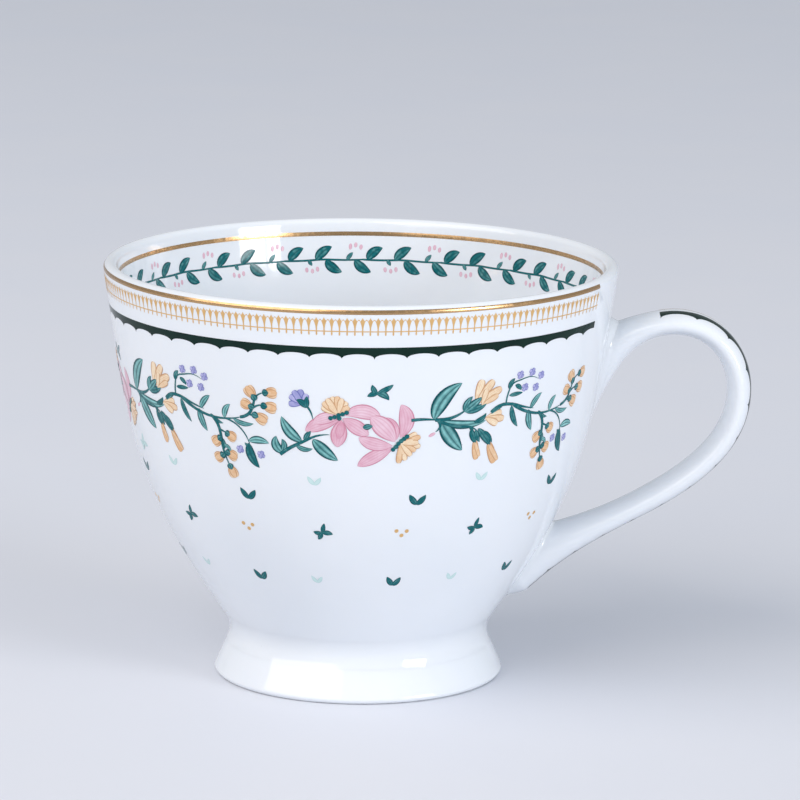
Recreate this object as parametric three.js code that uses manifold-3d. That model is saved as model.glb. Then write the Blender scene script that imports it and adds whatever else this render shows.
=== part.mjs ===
// A porcelain teacup: a flaring bowl on a turned pedestal foot, an ear-shaped strap handle
// luted on with slip, and the decoration as thin enamel and gilt films fired onto the glaze.
// Millimetres, +Z up. The cup stands on z = 0, its handle points along +X and its front is -Y.
// The origin is the middle of the ground that the whole cup covers.

import * as THREE from "three";
import { mergeVertices } from "three/addons/utils/BufferGeometryUtils.js";
import Module from "manifold-3d";

const wasm = await Module();
wasm.setup();

// ---- Driving dimensions -------------------------------------------------------------------

// Bowl
const CUP_HEIGHT = 77.2;
const RIM_RADIUS = 47.15;
const NECK_RADIUS = 23.2; // narrowest outside radius, where the bowl meets the foot
const NECK_HEIGHT = 8.8;
const LIP_WALL = 2.4; // wall thickness at the lip
const BASE_WALL = 3.8; // wall thickness low down, where it turns into the floor
const FLOOR_THICKNESS = 4.0; // clay over the neck plane, at the axis
const FLOOR_TURN = 0.2; // share of the wall's length, from the neck, where the floor begins to curve
// The wall's curve: how steeply it leaves the neck and how far it leans out at the lip, in
// degrees, and how long each end holds its direction, as a share of the wall's height
const NECK_SLOPE = { angle: 55, pull: 0.456 };
const RIM_LEAN = { angle: 8.3, pull: 0.5145 };

// Foot
const FOOT_RADIUS = 26.7;
const FOOT_EDGE_ROUND = 0.9; // rounding of the foot's outer bottom edge
const FOOT_RING_WIDTH = 1.8; // flat bare ring that the cup rests on
const FOOT_WALL = 2.8; // wall thickness of the pedestal
const FOOT_SLIP_RISE = 2.4; // height of the slip fillet above and below the neck
const FOOT_SLIP_DEPTH = 1.2; // how far the slip fills the groove at the neck
const FOOT_SLIP_SKIN = 0.3; // how far the slip stands out from the neck at its hollow

// Handle: an ear-shaped strap with an elliptical section
const HANDLE_REACH = 22.65; // strap's centre line beyond the rim
const STRAP_THICKNESS = 4.5;
const STRAP_WIDTH = 9.6;
const UPPER_ROOT_DROP = 16.3; // below the lip, where the centre line enters the wall
const WAIST_DROP = 23.6; // below the lip, where the handle reaches furthest out
const LOWER_ROOT_RISE = 13.6; // above the neck, where the centre line enters the wall
// Each root's slope in degrees, how much its flare adds to the strap's half thickness and half
// width at the wall, the flare's length, and how far the strap runs on before it is trimmed
const UPPER_ROOT = { angle: 39, spread: 1.9, widen: 0.9, length: 12, depth: 14 };
const LOWER_ROOT = { angle: 27.2, spread: 2.4, widen: 1.2, length: 20, depth: 10 };
const FLARE_DEPTH = 10; // past the wall crossing, where the upper flare stops growing
const TAIL_START = 4; // past the wall crossing, where the lower root begins to round off
const TAIL_ROUND = 7; // length of that rounding
// Pulls of the two stretches of the centre line, as shares of the reach and of the drop
const CROWN_PULL = { root: 0.76, waist: 0.473 };
const LOWER_PULL = { waist: 0.507, root: 0.583 };

// Slip collars at the handle's roots
const JOINT_GAP = 0.3; // clearance between luted pieces
const SLIP_WIDTH = 0.8; // collar's breadth around the strap
const SLIP_HEIGHT = 1.0; // collar's height off the wall

// Fired-on films
const FILM_LIFT = 0.25; // clearance between a film and the glaze under it
const FILM_THICKNESS = 0.25;
const DECOR_GAP_ANGLE = 24; // degrees left plain on each side of the handle
const RIM_LINE = { top: 0.5, bottom: 1.3 }; // depths below the lip, along the wall
const FRIEZE = { top: 1.8, bottom: 5.0 };
const SCALLOP_BAND = { top: 7.3, crest: 8.5, cusp: 9.5, count: 43 };
const INNER_LINE = { top: 2.3, bottom: 3.1 };
const INNER_BORDER = { depth: 7.8, stem: 0.5, repeats: 18, leaf: { length: 3.6, width: 1.7 } };
const GARLAND = { depth: 21.2, stem: 0.9, sway: 1.8, repeats: 4 };
const PAD_BELLY = 0.45; // share of a leaf's or petal's length at which it is widest
const HANDLE_STRIPE = { near: -3.6, far: -0.4, start: 11.6, end: -3.5 };
const HANDLE_LINE = { near: 1.4, far: 2.1, start: 11.6, end: -3.5 };

// Fineness
const TURN_STEPS = 60; // facets round the axis
const WALL_STEPS = 10; // facets down the wall
const LIP_STEPS = 4;
const FLOOR_STEPS = 4;
const STRAP_STEPS = 34; // sections along the handle
const STRAP_SIDES = 14; // facets round the strap

// ---- Materials ----------------------------------------------------------------------------

const glaze = (color) => new THREE.MeshStandardMaterial({ color, roughness: 0.08, metalness: 0 });
const gilt = () => new THREE.MeshStandardMaterial({ color: 0xc59a5b, roughness: 0.25, metalness: 1 });
const PORCELAIN = 0xe9edf3;
const DARK_GREEN = 0x17352f;
const LEAF_GREEN = 0x0f6a66;

// ---- Geometry helpers ---------------------------------------------------------------------

// Signed volume tells which way a closed mesh's faces point.
function facingOut(geometry) {
  const p = geometry.attributes.position;
  const index = geometry.index.array;
  const [a, b, c] = [new THREE.Vector3(), new THREE.Vector3(), new THREE.Vector3()];
  let volume = 0;
  for (let i = 0; i < index.length; i += 3) {
    a.fromBufferAttribute(p, index[i]);
    b.fromBufferAttribute(p, index[i + 1]);
    c.fromBufferAttribute(p, index[i + 2]);
    volume += a.dot(b.cross(c));
  }
  if (volume < 0) {
    for (let i = 0; i < index.length; i += 3) {
      [index[i + 1], index[i + 2]] = [index[i + 2], index[i + 1]];
    }
  }
  return geometry;
}

// Only positions, with shared vertices merged.
function closed(geometry) {
  geometry.deleteAttribute("normal");
  geometry.deleteAttribute("uv");
  return facingOut(mergeVertices(geometry, 1e-4));
}

function fromArrays(points, triangles) {
  const flat = points.flatMap((p) => [p.x, p.y, p.z]);
  const geometry = new THREE.BufferGeometry();
  geometry.setAttribute("position", new THREE.Float32BufferAttribute(flat, 3));
  geometry.setIndex(triangles);
  return closed(geometry);
}

function toSolid(geometry) {
  const vertProperties = geometry.attributes.position.array;
  const triVerts = new Uint32Array(geometry.index.array);
  return new wasm.Manifold(new wasm.Mesh({ numProp: 3, vertProperties, triVerts }));
}

function fromSolid(solid) {
  const mesh = solid.getMesh();
  const geometry = new THREE.BufferGeometry();
  geometry.setAttribute("position", new THREE.BufferAttribute(mesh.vertProperties, 3));
  geometry.setIndex(new THREE.BufferAttribute(mesh.triVerts, 1));
  return geometry;
}

// A profile of (radius, height) points turned about the Z axis.
function turned(profile) {
  const points = profile.map(([radius, height]) => new THREE.Vector2(radius, height));
  const lathe = new THREE.LatheGeometry(points, TURN_STEPS);
  lathe.rotateX(Math.PI / 2);
  return closed(lathe);
}

// Rings of equal length joined into a tube, with a fan over each end.
function lofted(rings) {
  const sides = rings[0].length;
  const points = rings.flat();
  const triangles = [];
  for (let i = 0; i + 1 < rings.length; i++) {
    for (let j = 0; j < sides; j++) {
      const [a, b] = [i * sides + j, i * sides + ((j + 1) % sides)];
      const [c, d] = [a + sides, b + sides];
      triangles.push(a, b, c, b, d, c);
    }
  }
  for (const [ring, reversed] of [[0, true], [rings.length - 1, false]]) {
    const first = ring * sides;
    for (let j = 1; j + 1 < sides; j++) {
      const [b, c] = reversed ? [first + j + 1, first + j] : [first + j, first + j + 1];
      triangles.push(first, b, c);
    }
  }
  return fromArrays(points, triangles);
}

// ---- The wall -----------------------------------------------------------------------------

const radians = THREE.MathUtils.degToRad;
const bearing = (angle) => new THREE.Vector2(Math.cos(radians(angle)), Math.sin(radians(angle)));
const moved = (point, way, distance) => point.clone().addScaledVector(way, distance);

const lipRadius = LIP_WALL / 2;
const wallHeight = CUP_HEIGHT - NECK_HEIGHT;
const neckPoint = new THREE.Vector2(NECK_RADIUS, NECK_HEIGHT);
const rimWay = bearing(90 - RIM_LEAN.angle);
const rimPoint = new THREE.Vector2(RIM_RADIUS, CUP_HEIGHT - lipRadius * (1 + rimWay.x));

const outerCurve = new THREE.CubicBezierCurve(
  neckPoint,
  moved(neckPoint, bearing(NECK_SLOPE.angle), NECK_SLOPE.pull * wallHeight),
  moved(rimPoint, rimWay, -RIM_LEAN.pull * wallHeight),
  rimPoint,
);

// Point on the wall at a share t of its length from the neck, moved out along its normal.
function wallPoint(t, out = 0) {
  const point = outerCurve.getPointAt(t);
  const tangent = outerCurve.getTangentAt(t);
  return new THREE.Vector2(point.x + out * tangent.y, point.y - out * tangent.x);
}

const wallThickness = (t) => LIP_WALL + (BASE_WALL - LIP_WALL) * (1 - t) ** 2;
const innerPoint = (t, out = 0) => wallPoint(t, -wallThickness(t) - out);

// Outside radius of the wall at a height.
function wallRadius(height) {
  let [low, high] = [0, 1];
  for (let i = 0; i < 40; i++) {
    const middle = (low + high) / 2;
    if (wallPoint(middle).y < height) low = middle;
    else high = middle;
  }
  return wallPoint(low).x;
}

const wallLength = outerCurve.getLength();
const lipCentre = wallPoint(1, -lipRadius);

// The two faces of the wall, and the way each faces.
const OUTSIDE = { at: wallPoint, way: 1 };
const INSIDE = { at: innerPoint, way: -1 };

// A profile point on or off one face of the wall at a depth below the top of the round lip.
function profileAt(side, depth, out = 0) {
  const rise = lipRadius - depth;
  if (rise <= 0) return side.at(1 + rise / wallLength, out);
  const angle = Math.asin(rise / lipRadius);
  const radius = lipRadius + out;
  const across = side.way * radius * Math.cos(angle);
  return new THREE.Vector2(lipCentre.x + across, lipCentre.y + radius * Math.sin(angle));
}

// The same point turned to an angle from the front, positive towards +X.
function onWall(side, angle, depth, out) {
  const flat = profileAt(side, depth, out);
  return new THREE.Vector3(flat.x * Math.sin(angle), -flat.x * Math.cos(angle), flat.y);
}

// ---- Clay pieces --------------------------------------------------------------------------

const floorHeight = NECK_HEIGHT + FLOOR_THICKNESS;
const grooveFoot = [NECK_RADIUS - FOOT_SLIP_DEPTH, NECK_HEIGHT];
const grooveTop = [wallRadius(NECK_HEIGHT + FOOT_SLIP_RISE), NECK_HEIGHT + FOOT_SLIP_RISE];

function makeBowl() {
  const profile = [[0, NECK_HEIGHT], grooveFoot, grooveTop];
  const firstShare = FOOT_SLIP_RISE / wallLength;
  for (let i = 1; i <= WALL_STEPS; i++) {
    const point = wallPoint(THREE.MathUtils.lerp(firstShare * 2, 1, i / WALL_STEPS));
    profile.push([point.x, point.y]);
  }
  for (let i = 1; i < LIP_STEPS; i++) {
    const angle = (Math.PI * i) / LIP_STEPS;
    profile.push([lipCentre.x + lipRadius * Math.cos(angle), lipCentre.y + lipRadius * Math.sin(angle)]);
  }
  for (let i = WALL_STEPS - 1; i >= 0; i--) {
    const point = innerPoint(THREE.MathUtils.lerp(FLOOR_TURN, 1, i / (WALL_STEPS - 1)));
    profile.push([point.x, point.y]);
  }
  // The floor leaves the wall along its slope and lies level at the axis.
  const turn = innerPoint(FLOOR_TURN);
  const slope = outerCurve.getTangentAt(FLOOR_TURN);
  const reach = (turn.y - floorHeight) / slope.y;
  const control = new THREE.Vector2(turn.x - reach * slope.x, floorHeight);
  const floor = new THREE.QuadraticBezierCurve(turn, control, new THREE.Vector2(0, floorHeight));
  for (let i = 1; i <= FLOOR_STEPS; i++) {
    const point = floor.getPoint(i / FLOOR_STEPS);
    profile.push([point.x, point.y]);
  }
  return turned(profile);
}

const footTop = NECK_HEIGHT - FOOT_SLIP_RISE;
const footSlope = (FOOT_RADIUS - NECK_RADIUS) / (NECK_HEIGHT - FOOT_EDGE_ROUND);
const grooveBottom = [NECK_RADIUS + footSlope * FOOT_SLIP_RISE, footTop];

function makeFoot() {
  const ringOuter = FOOT_RADIUS - FOOT_EDGE_ROUND;
  const ringInner = ringOuter - FOOT_RING_WIDTH;
  const recessTop = NECK_RADIUS - FOOT_WALL;
  const edge = FOOT_EDGE_ROUND * (1 - Math.SQRT1_2);
  return turned([
    [recessTop, NECK_HEIGHT],
    [(recessTop + ringInner) / 2, NECK_HEIGHT / 2],
    [ringInner, edge],
    [ringInner + edge, 0],
    [ringOuter, 0],
    [FOOT_RADIUS - edge, edge],
    [FOOT_RADIUS, FOOT_EDGE_ROUND],
    grooveBottom,
    grooveFoot,
    [recessTop, NECK_HEIGHT],
  ]);
}

// The slip fills the groove between bowl and foot and leaves a hollow fillet.
function makeFootSlip() {
  const hollow = [NECK_RADIUS + FOOT_SLIP_SKIN, NECK_HEIGHT];
  return turned([grooveFoot, grooveBottom, hollow, grooveTop, grooveFoot]);
}

// ---- Handle -------------------------------------------------------------------------------

const upperEntry = new THREE.Vector2(
  wallRadius(CUP_HEIGHT - UPPER_ROOT_DROP),
  CUP_HEIGHT - UPPER_ROOT_DROP,
);
const lowerEntry = new THREE.Vector2(
  wallRadius(NECK_HEIGHT + LOWER_ROOT_RISE),
  NECK_HEIGHT + LOWER_ROOT_RISE,
);
const waist = new THREE.Vector2(RIM_RADIUS + HANDLE_REACH, CUP_HEIGHT - WAIST_DROP);

function makeCentreLine() {
  const [upperWay, lowerWay, up] = [bearing(UPPER_ROOT.angle), bearing(LOWER_ROOT.angle), bearing(90)];
  const fall = waist.y - lowerEntry.y;
  const path = new THREE.CurvePath();
  path.add(new THREE.LineCurve(moved(upperEntry, upperWay, -UPPER_ROOT.depth), upperEntry));
  path.add(
    new THREE.CubicBezierCurve(
      upperEntry,
      moved(upperEntry, upperWay, CROWN_PULL.root * HANDLE_REACH),
      moved(waist, up, CROWN_PULL.waist * HANDLE_REACH),
      waist,
    ),
  );
  path.add(
    new THREE.CubicBezierCurve(
      waist,
      moved(waist, up, -LOWER_PULL.waist * fall),
      moved(lowerEntry, lowerWay, LOWER_PULL.root * fall),
      lowerEntry,
    ),
  );
  path.add(new THREE.LineCurve(lowerEntry, moved(lowerEntry, lowerWay, -LOWER_ROOT.depth)));
  return path;
}

const centreLine = makeCentreLine();
const centreLength = centreLine.getLength();
const upperCrossing = UPPER_ROOT.depth; // lengths at which the centre line crosses the wall
const lowerCrossing = centreLength - LOWER_ROOT.depth;

// How far a root's flare has grown at a distance out from the wall crossing.
const flare = (distance, length) => (distance < length ? (1 - distance / length) ** 2 : 0);

// The elliptical section at a length along the centre line, grown by an allowance.
function section(along, grow) {
  const fromUpper = along - upperCrossing;
  const fromLower = lowerCrossing - along;
  const upper = flare(Math.max(fromUpper, -FLARE_DEPTH), UPPER_ROOT.length);
  const past = THREE.MathUtils.clamp((-TAIL_START - fromLower) / TAIL_ROUND, 0, 1);
  const lower = flare(Math.max(fromLower, -TAIL_START), LOWER_ROOT.length);
  const round = Math.sqrt(1 - past ** 2);
  const half = STRAP_THICKNESS / 2 + UPPER_ROOT.spread * upper + LOWER_ROOT.spread * lower;
  const breadth = STRAP_WIDTH / 2 + UPPER_ROOT.widen * upper + LOWER_ROOT.widen * lower;
  return { half: half * round + grow, breadth: breadth * round + grow };
}

// A point of the strap: at a length along it, at an angle round the section from its outer face.
function strapPoint(along, turn, grow) {
  const share = along / centreLength;
  const centre = centreLine.getPointAt(share);
  const tangent = centreLine.getTangentAt(share);
  const { half, breadth } = section(along, grow);
  const out = half * Math.cos(turn);
  return new THREE.Vector3(centre.x - out * tangent.y, breadth * Math.sin(turn), centre.y + out * tangent.x);
}

// Lengths of the sections from one end to another: both ends, and the strap's own sections
// between them, so that whatever lies along the strap turns where the strap turns.
function sectionsBetween(from, to) {
  const step = centreLength / STRAP_STEPS;
  const least = step / 8; // no section lies closer than this to an end
  const lengths = [from];
  for (let along = step; along < to - least; along += step) {
    if (along > from + least) lengths.push(along);
  }
  return [...lengths, to];
}

function strap(from, to, grow) {
  const rings = sectionsBetween(from, to).map((along) => {
    const ring = [];
    for (let j = 0; j < STRAP_SIDES; j++) {
      ring.push(strapPoint(along, (2 * Math.PI * j) / STRAP_SIDES, grow));
    }
    return ring;
  });
  return toSolid(lofted(rings));
}

// The space inside the bowl's outside surface, grown by a distance.
function bowlSpace(grow) {
  const profile = [[0, NECK_HEIGHT]];
  for (let i = 0; i <= 2 * WALL_STEPS; i++) {
    const point = wallPoint(i / (2 * WALL_STEPS), grow);
    profile.push([point.x, point.y]);
  }
  profile.push([0, rimPoint.y]);
  return toSolid(turned(profile));
}

function makeHandle() {
  return fromSolid(strap(0, centreLength, 0).subtract(bowlSpace(JOINT_GAP)));
}

// A collar of slip round one root: a skin of the strap, a little way up from the wall.
function makeRootSlip(from, to) {
  const outside = strap(from, to, JOINT_GAP + SLIP_WIDTH).intersect(bowlSpace(JOINT_GAP + SLIP_HEIGHT));
  return fromSolid(outside.subtract(strap(from, to, JOINT_GAP)).subtract(bowlSpace(JOINT_GAP)));
}

// ---- Films --------------------------------------------------------------------------------

// Columns of four corners (top and bottom edge, under and outer face) joined into a strip.
function strip(columns, isRing) {
  const triangles = [];
  const count = columns.length;
  const last = isRing ? count : count - 1;
  for (let i = 0; i < last; i++) {
    for (let j = 0; j < 4; j++) {
      const [a, b] = [i * 4 + j, i * 4 + ((j + 1) % 4)];
      const [c, d] = [((i + 1) % count) * 4 + j, ((i + 1) % count) * 4 + ((j + 1) % 4)];
      triangles.push(a, b, c, b, d, c);
    }
  }
  if (!isRing) {
    const end = (count - 1) * 4;
    triangles.push(0, 2, 1, 0, 3, 2, end, end + 1, end + 2, end, end + 2, end + 3);
  }
  return fromArrays(columns.flat(), triangles);
}

// A film on the wall between two depths, which may change with the angle.
function wallFilm({ side, from, to, steps, top, bottom, isRing = false, lift = FILM_LIFT }) {
  const columns = [];
  const count = isRing ? steps : steps + 1;
  for (let i = 0; i < count; i++) {
    const angle = THREE.MathUtils.lerp(from, to, i / steps);
    const [high, low] = [top(angle, i), bottom(angle, i)];
    const over = lift + FILM_THICKNESS;
    columns.push([
      onWall(side, angle, high, lift),
      onWall(side, angle, low, lift),
      onWall(side, angle, low, over),
      onWall(side, angle, high, over),
    ]);
  }
  return strip(columns, isRing);
}

const plainHalf = radians(DECOR_GAP_ANGLE);
const decorFrom = Math.PI / 2 + plainHalf - 2 * Math.PI; // behind the handle, the long way round
const decorTo = Math.PI / 2 - plainHalf;
const outsideSweep = { side: OUTSIDE, from: decorFrom, to: decorTo };

const decorSteps = Math.round(((decorTo - decorFrom) / (2 * Math.PI)) * TURN_STEPS);

function makeBand({ top, bottom }) {
  return wallFilm({ ...outsideSweep, steps: decorSteps, top: () => top, bottom: () => bottom });
}

// Each scallop is three chords, from cusp over the crest to the next cusp.
function makeScallopBand() {
  const chords = 3;
  const edge = (i) => (i % chords === 0 ? SCALLOP_BAND.cusp : SCALLOP_BAND.crest);
  return wallFilm({
    ...outsideSweep,
    steps: SCALLOP_BAND.count * chords,
    top: () => SCALLOP_BAND.top,
    bottom: (angle, i) => edge(i),
  });
}

// A leaf or petal pad: a pointed outline bent onto the wall, joined to a stem film.
const padLift = FILM_LIFT + FILM_THICKNESS / 3;

function makePad({ side, angle, depth, length, width, lean }) {
  const outline = new THREE.Shape([
    new THREE.Vector2(0, 0),
    new THREE.Vector2(length * PAD_BELLY, -width / 2),
    new THREE.Vector2(length, 0),
    new THREE.Vector2(length * PAD_BELLY, width / 2),
  ]);
  const pad = new THREE.ExtrudeGeometry(outline, { depth: FILM_THICKNESS, bevelEnabled: false });
  pad.rotateZ(radians(lean));
  const radius = profileAt(side, depth).x;
  const position = pad.attributes.position;
  for (let i = 0; i < position.count; i++) {
    const [x, y, z] = [position.getX(i), position.getY(i), position.getZ(i)];
    const bent = onWall(side, angle + x / radius, depth - y, padLift + z);
    position.setXYZ(i, bent.x, bent.y, bent.z);
  }
  return toSolid(closed(pad));
}

function withPads(stem, pads) {
  return fromSolid(pads.reduce((joined, pad) => joined.add(makePad(pad)), toSolid(stem)));
}

// Laurel border inside the lip: in each repeat one leaf points up and one down.
function makeInnerBorder() {
  const { depth, stem, repeats, leaf } = INNER_BORDER;
  const ring = wallFilm({
    side: INSIDE,
    from: 0,
    to: 2 * Math.PI,
    steps: TURN_STEPS,
    top: () => depth - stem / 2,
    bottom: () => depth + stem / 2,
    isRing: true,
  });
  const places = [
    { share: 0.2, lean: 142 },
    { share: 0.7, lean: 218 },
  ];
  const pads = [];
  for (let i = 0; i < repeats; i++) {
    for (const { share, lean } of places) {
      pads.push({ ...leaf, side: INSIDE, angle: (2 * Math.PI * (i + share)) / repeats, depth, lean });
    }
  }
  return withPads(ring, pads);
}

// Garland round the outside: a swaying stem with leaves, drooping buds and paired flowers.
function makeGarland() {
  const { depth, stem, sway, repeats } = GARLAND;
  const period = (decorTo - decorFrom) / repeats;
  const middle = (angle) => depth + sway * Math.sin((2 * Math.PI * (angle - decorFrom)) / period);
  const ribbon = wallFilm({
    ...outsideSweep,
    steps: 2 * decorSteps,
    top: (angle) => middle(angle) - stem / 2,
    bottom: (angle) => middle(angle) + stem / 2,
  });
  const kinds = [
    { share: 0.06, length: 6.5, width: 2.6, lean: 55 },
    { share: 0.1, length: 5.5, width: 2.4, lean: -50 },
    { share: 0.17, length: 6.0, width: 4.0, lean: 40 },
    { share: 0.22, length: 8.5, width: 2.2, lean: -60 },
    { share: 0.42, length: 6.5, width: 3.4, lean: 35 },
    { share: 0.5, length: 9.0, width: 2.6, lean: -80 },
    { share: 0.7, length: 6.0, width: 5.0, lean: 130 },
    { share: 0.74, length: 7.0, width: 5.0, lean: -100 },
    { share: 0.82, length: 7.0, width: 5.0, lean: -40 },
    { share: 0.88, length: 5.0, width: 4.0, lean: 50 },
  ];
  const pads = [];
  for (let i = 0; i < repeats; i++) {
    for (const { share, ...pad } of kinds) {
      const angle = decorFrom + period * (i + share);
      pads.push({ ...pad, side: OUTSIDE, angle, depth: middle(angle) });
    }
  }
  return withPads(ribbon, pads);
}

// A film along the strap's outer face, between two distances from its middle plane.
function makeStrapFilm({ near, far, start, end }) {
  const [from, to] = [upperCrossing + start, lowerCrossing - end];
  const over = FILM_LIFT + FILM_THICKNESS;
  const columns = sectionsBetween(from, to).map((along) => {
    const corner = (across, grow) =>
      strapPoint(along, Math.asin(across / section(along, grow).breadth), grow);
    return [corner(near, FILM_LIFT), corner(far, FILM_LIFT), corner(far, over), corner(near, over)];
  });
  return strip(columns, false);
}

// ---- Assembly -----------------------------------------------------------------------------

const cup = new THREE.Group();

function addPiece(name, geometry, material) {
  const mesh = new THREE.Mesh(geometry, material);
  mesh.name = name;
  cup.add(mesh);
}

// Lengths along the centre line where the strap has its plain section and the flares end.
const crown = upperCrossing + UPPER_ROOT.length;
const lowerArm = lowerCrossing - LOWER_ROOT.length;

addPiece("bowl", makeBowl(), glaze(PORCELAIN));
addPiece("foot", makeFoot(), glaze(PORCELAIN));
addPiece("foot_slip_joint", makeFootSlip(), glaze(PORCELAIN));
addPiece("handle", makeHandle(), glaze(PORCELAIN));
addPiece("upper_slip_joint", makeRootSlip(0, crown), glaze(PORCELAIN));
addPiece("lower_slip_joint", makeRootSlip(lowerArm, centreLength), glaze(PORCELAIN));
addPiece("rim_gilt_line", makeBand(RIM_LINE), gilt());
addPiece("gilt_picket_frieze", makeBand(FRIEZE), gilt());
addPiece("green_scallop_band", makeScallopBand(), glaze(DARK_GREEN));
addPiece("flower_garland", makeGarland(), glaze(LEAF_GREEN));
const innerLine = wallFilm({
  side: INSIDE,
  from: 0,
  to: 2 * Math.PI,
  steps: TURN_STEPS,
  top: () => INNER_LINE.top,
  bottom: () => INNER_LINE.bottom,
  isRing: true,
});
addPiece("inner_gilt_line", innerLine, gilt());
addPiece("inner_leaf_border", makeInnerBorder(), glaze(LEAF_GREEN));
addPiece("handle_green_stripe", makeStrapFilm(HANDLE_STRIPE), glaze(DARK_GREEN));
addPiece("handle_gilt_line", makeStrapFilm(HANDLE_LINE), gilt());

// Middle of the ground that the cup covers goes to the origin.
const ground = new THREE.Box3().setFromObject(cup);
cup.position.x = -(ground.min.x + ground.max.x) / 2;

export default cup;
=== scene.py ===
"""A porcelain teacup with a fired-on garland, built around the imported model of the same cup.

Lengths in the classes are millimetres in the row frame; a mesh is written in metres.
The artwork is laid out on the wall in two measures: "around", millimetres along a circle of
CHART_RADIUS from the front (-Y) towards the handle, and "drop", millimetres down from the lip.
"""

import logging
import math
from dataclasses import dataclass, field
from enum import Enum

import bpy
import numpy as np
from mathutils import Matrix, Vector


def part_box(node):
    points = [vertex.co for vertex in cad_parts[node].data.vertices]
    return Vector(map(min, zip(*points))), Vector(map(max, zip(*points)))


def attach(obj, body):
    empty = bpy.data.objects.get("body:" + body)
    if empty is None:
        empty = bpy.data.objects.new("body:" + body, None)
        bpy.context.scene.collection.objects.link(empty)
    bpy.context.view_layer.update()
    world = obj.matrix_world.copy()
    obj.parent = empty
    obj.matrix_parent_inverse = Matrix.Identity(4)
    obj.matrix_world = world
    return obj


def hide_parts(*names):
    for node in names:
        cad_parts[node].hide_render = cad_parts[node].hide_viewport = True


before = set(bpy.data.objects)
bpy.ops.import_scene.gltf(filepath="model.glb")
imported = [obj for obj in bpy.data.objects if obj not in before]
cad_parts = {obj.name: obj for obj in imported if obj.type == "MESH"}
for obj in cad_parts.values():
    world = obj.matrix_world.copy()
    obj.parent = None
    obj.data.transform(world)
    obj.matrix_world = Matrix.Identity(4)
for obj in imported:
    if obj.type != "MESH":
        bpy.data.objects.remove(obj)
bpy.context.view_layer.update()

Array = np.ndarray
Spots = list[tuple[float, float]]

MM = 0.001
CHART_RADIUS = 43.5  # radius at which "around" is measured
DECOR_GAP = math.radians(24)  # plain wall on each side of the handle
DECOR_FROM = -(1.5 * math.pi - DECOR_GAP) * CHART_RADIUS
DECOR_TO = (0.5 * math.pi - DECOR_GAP) * CHART_RADIUS
ARTWORK_TOP = 0.9  # drop of the line that the drawings' own drops are counted from
UNDER_GLAZE = -0.02  # how far a fired film's hidden face lies under the glaze
FILM_TONE = 0.4  # lightness of a plain strip of film
CREASE = math.radians(40)  # an edge sharper than this stays crisp

log = logging.getLogger("teacup")


# ---- Meshes -------------------------------------------------------------------------------


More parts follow.
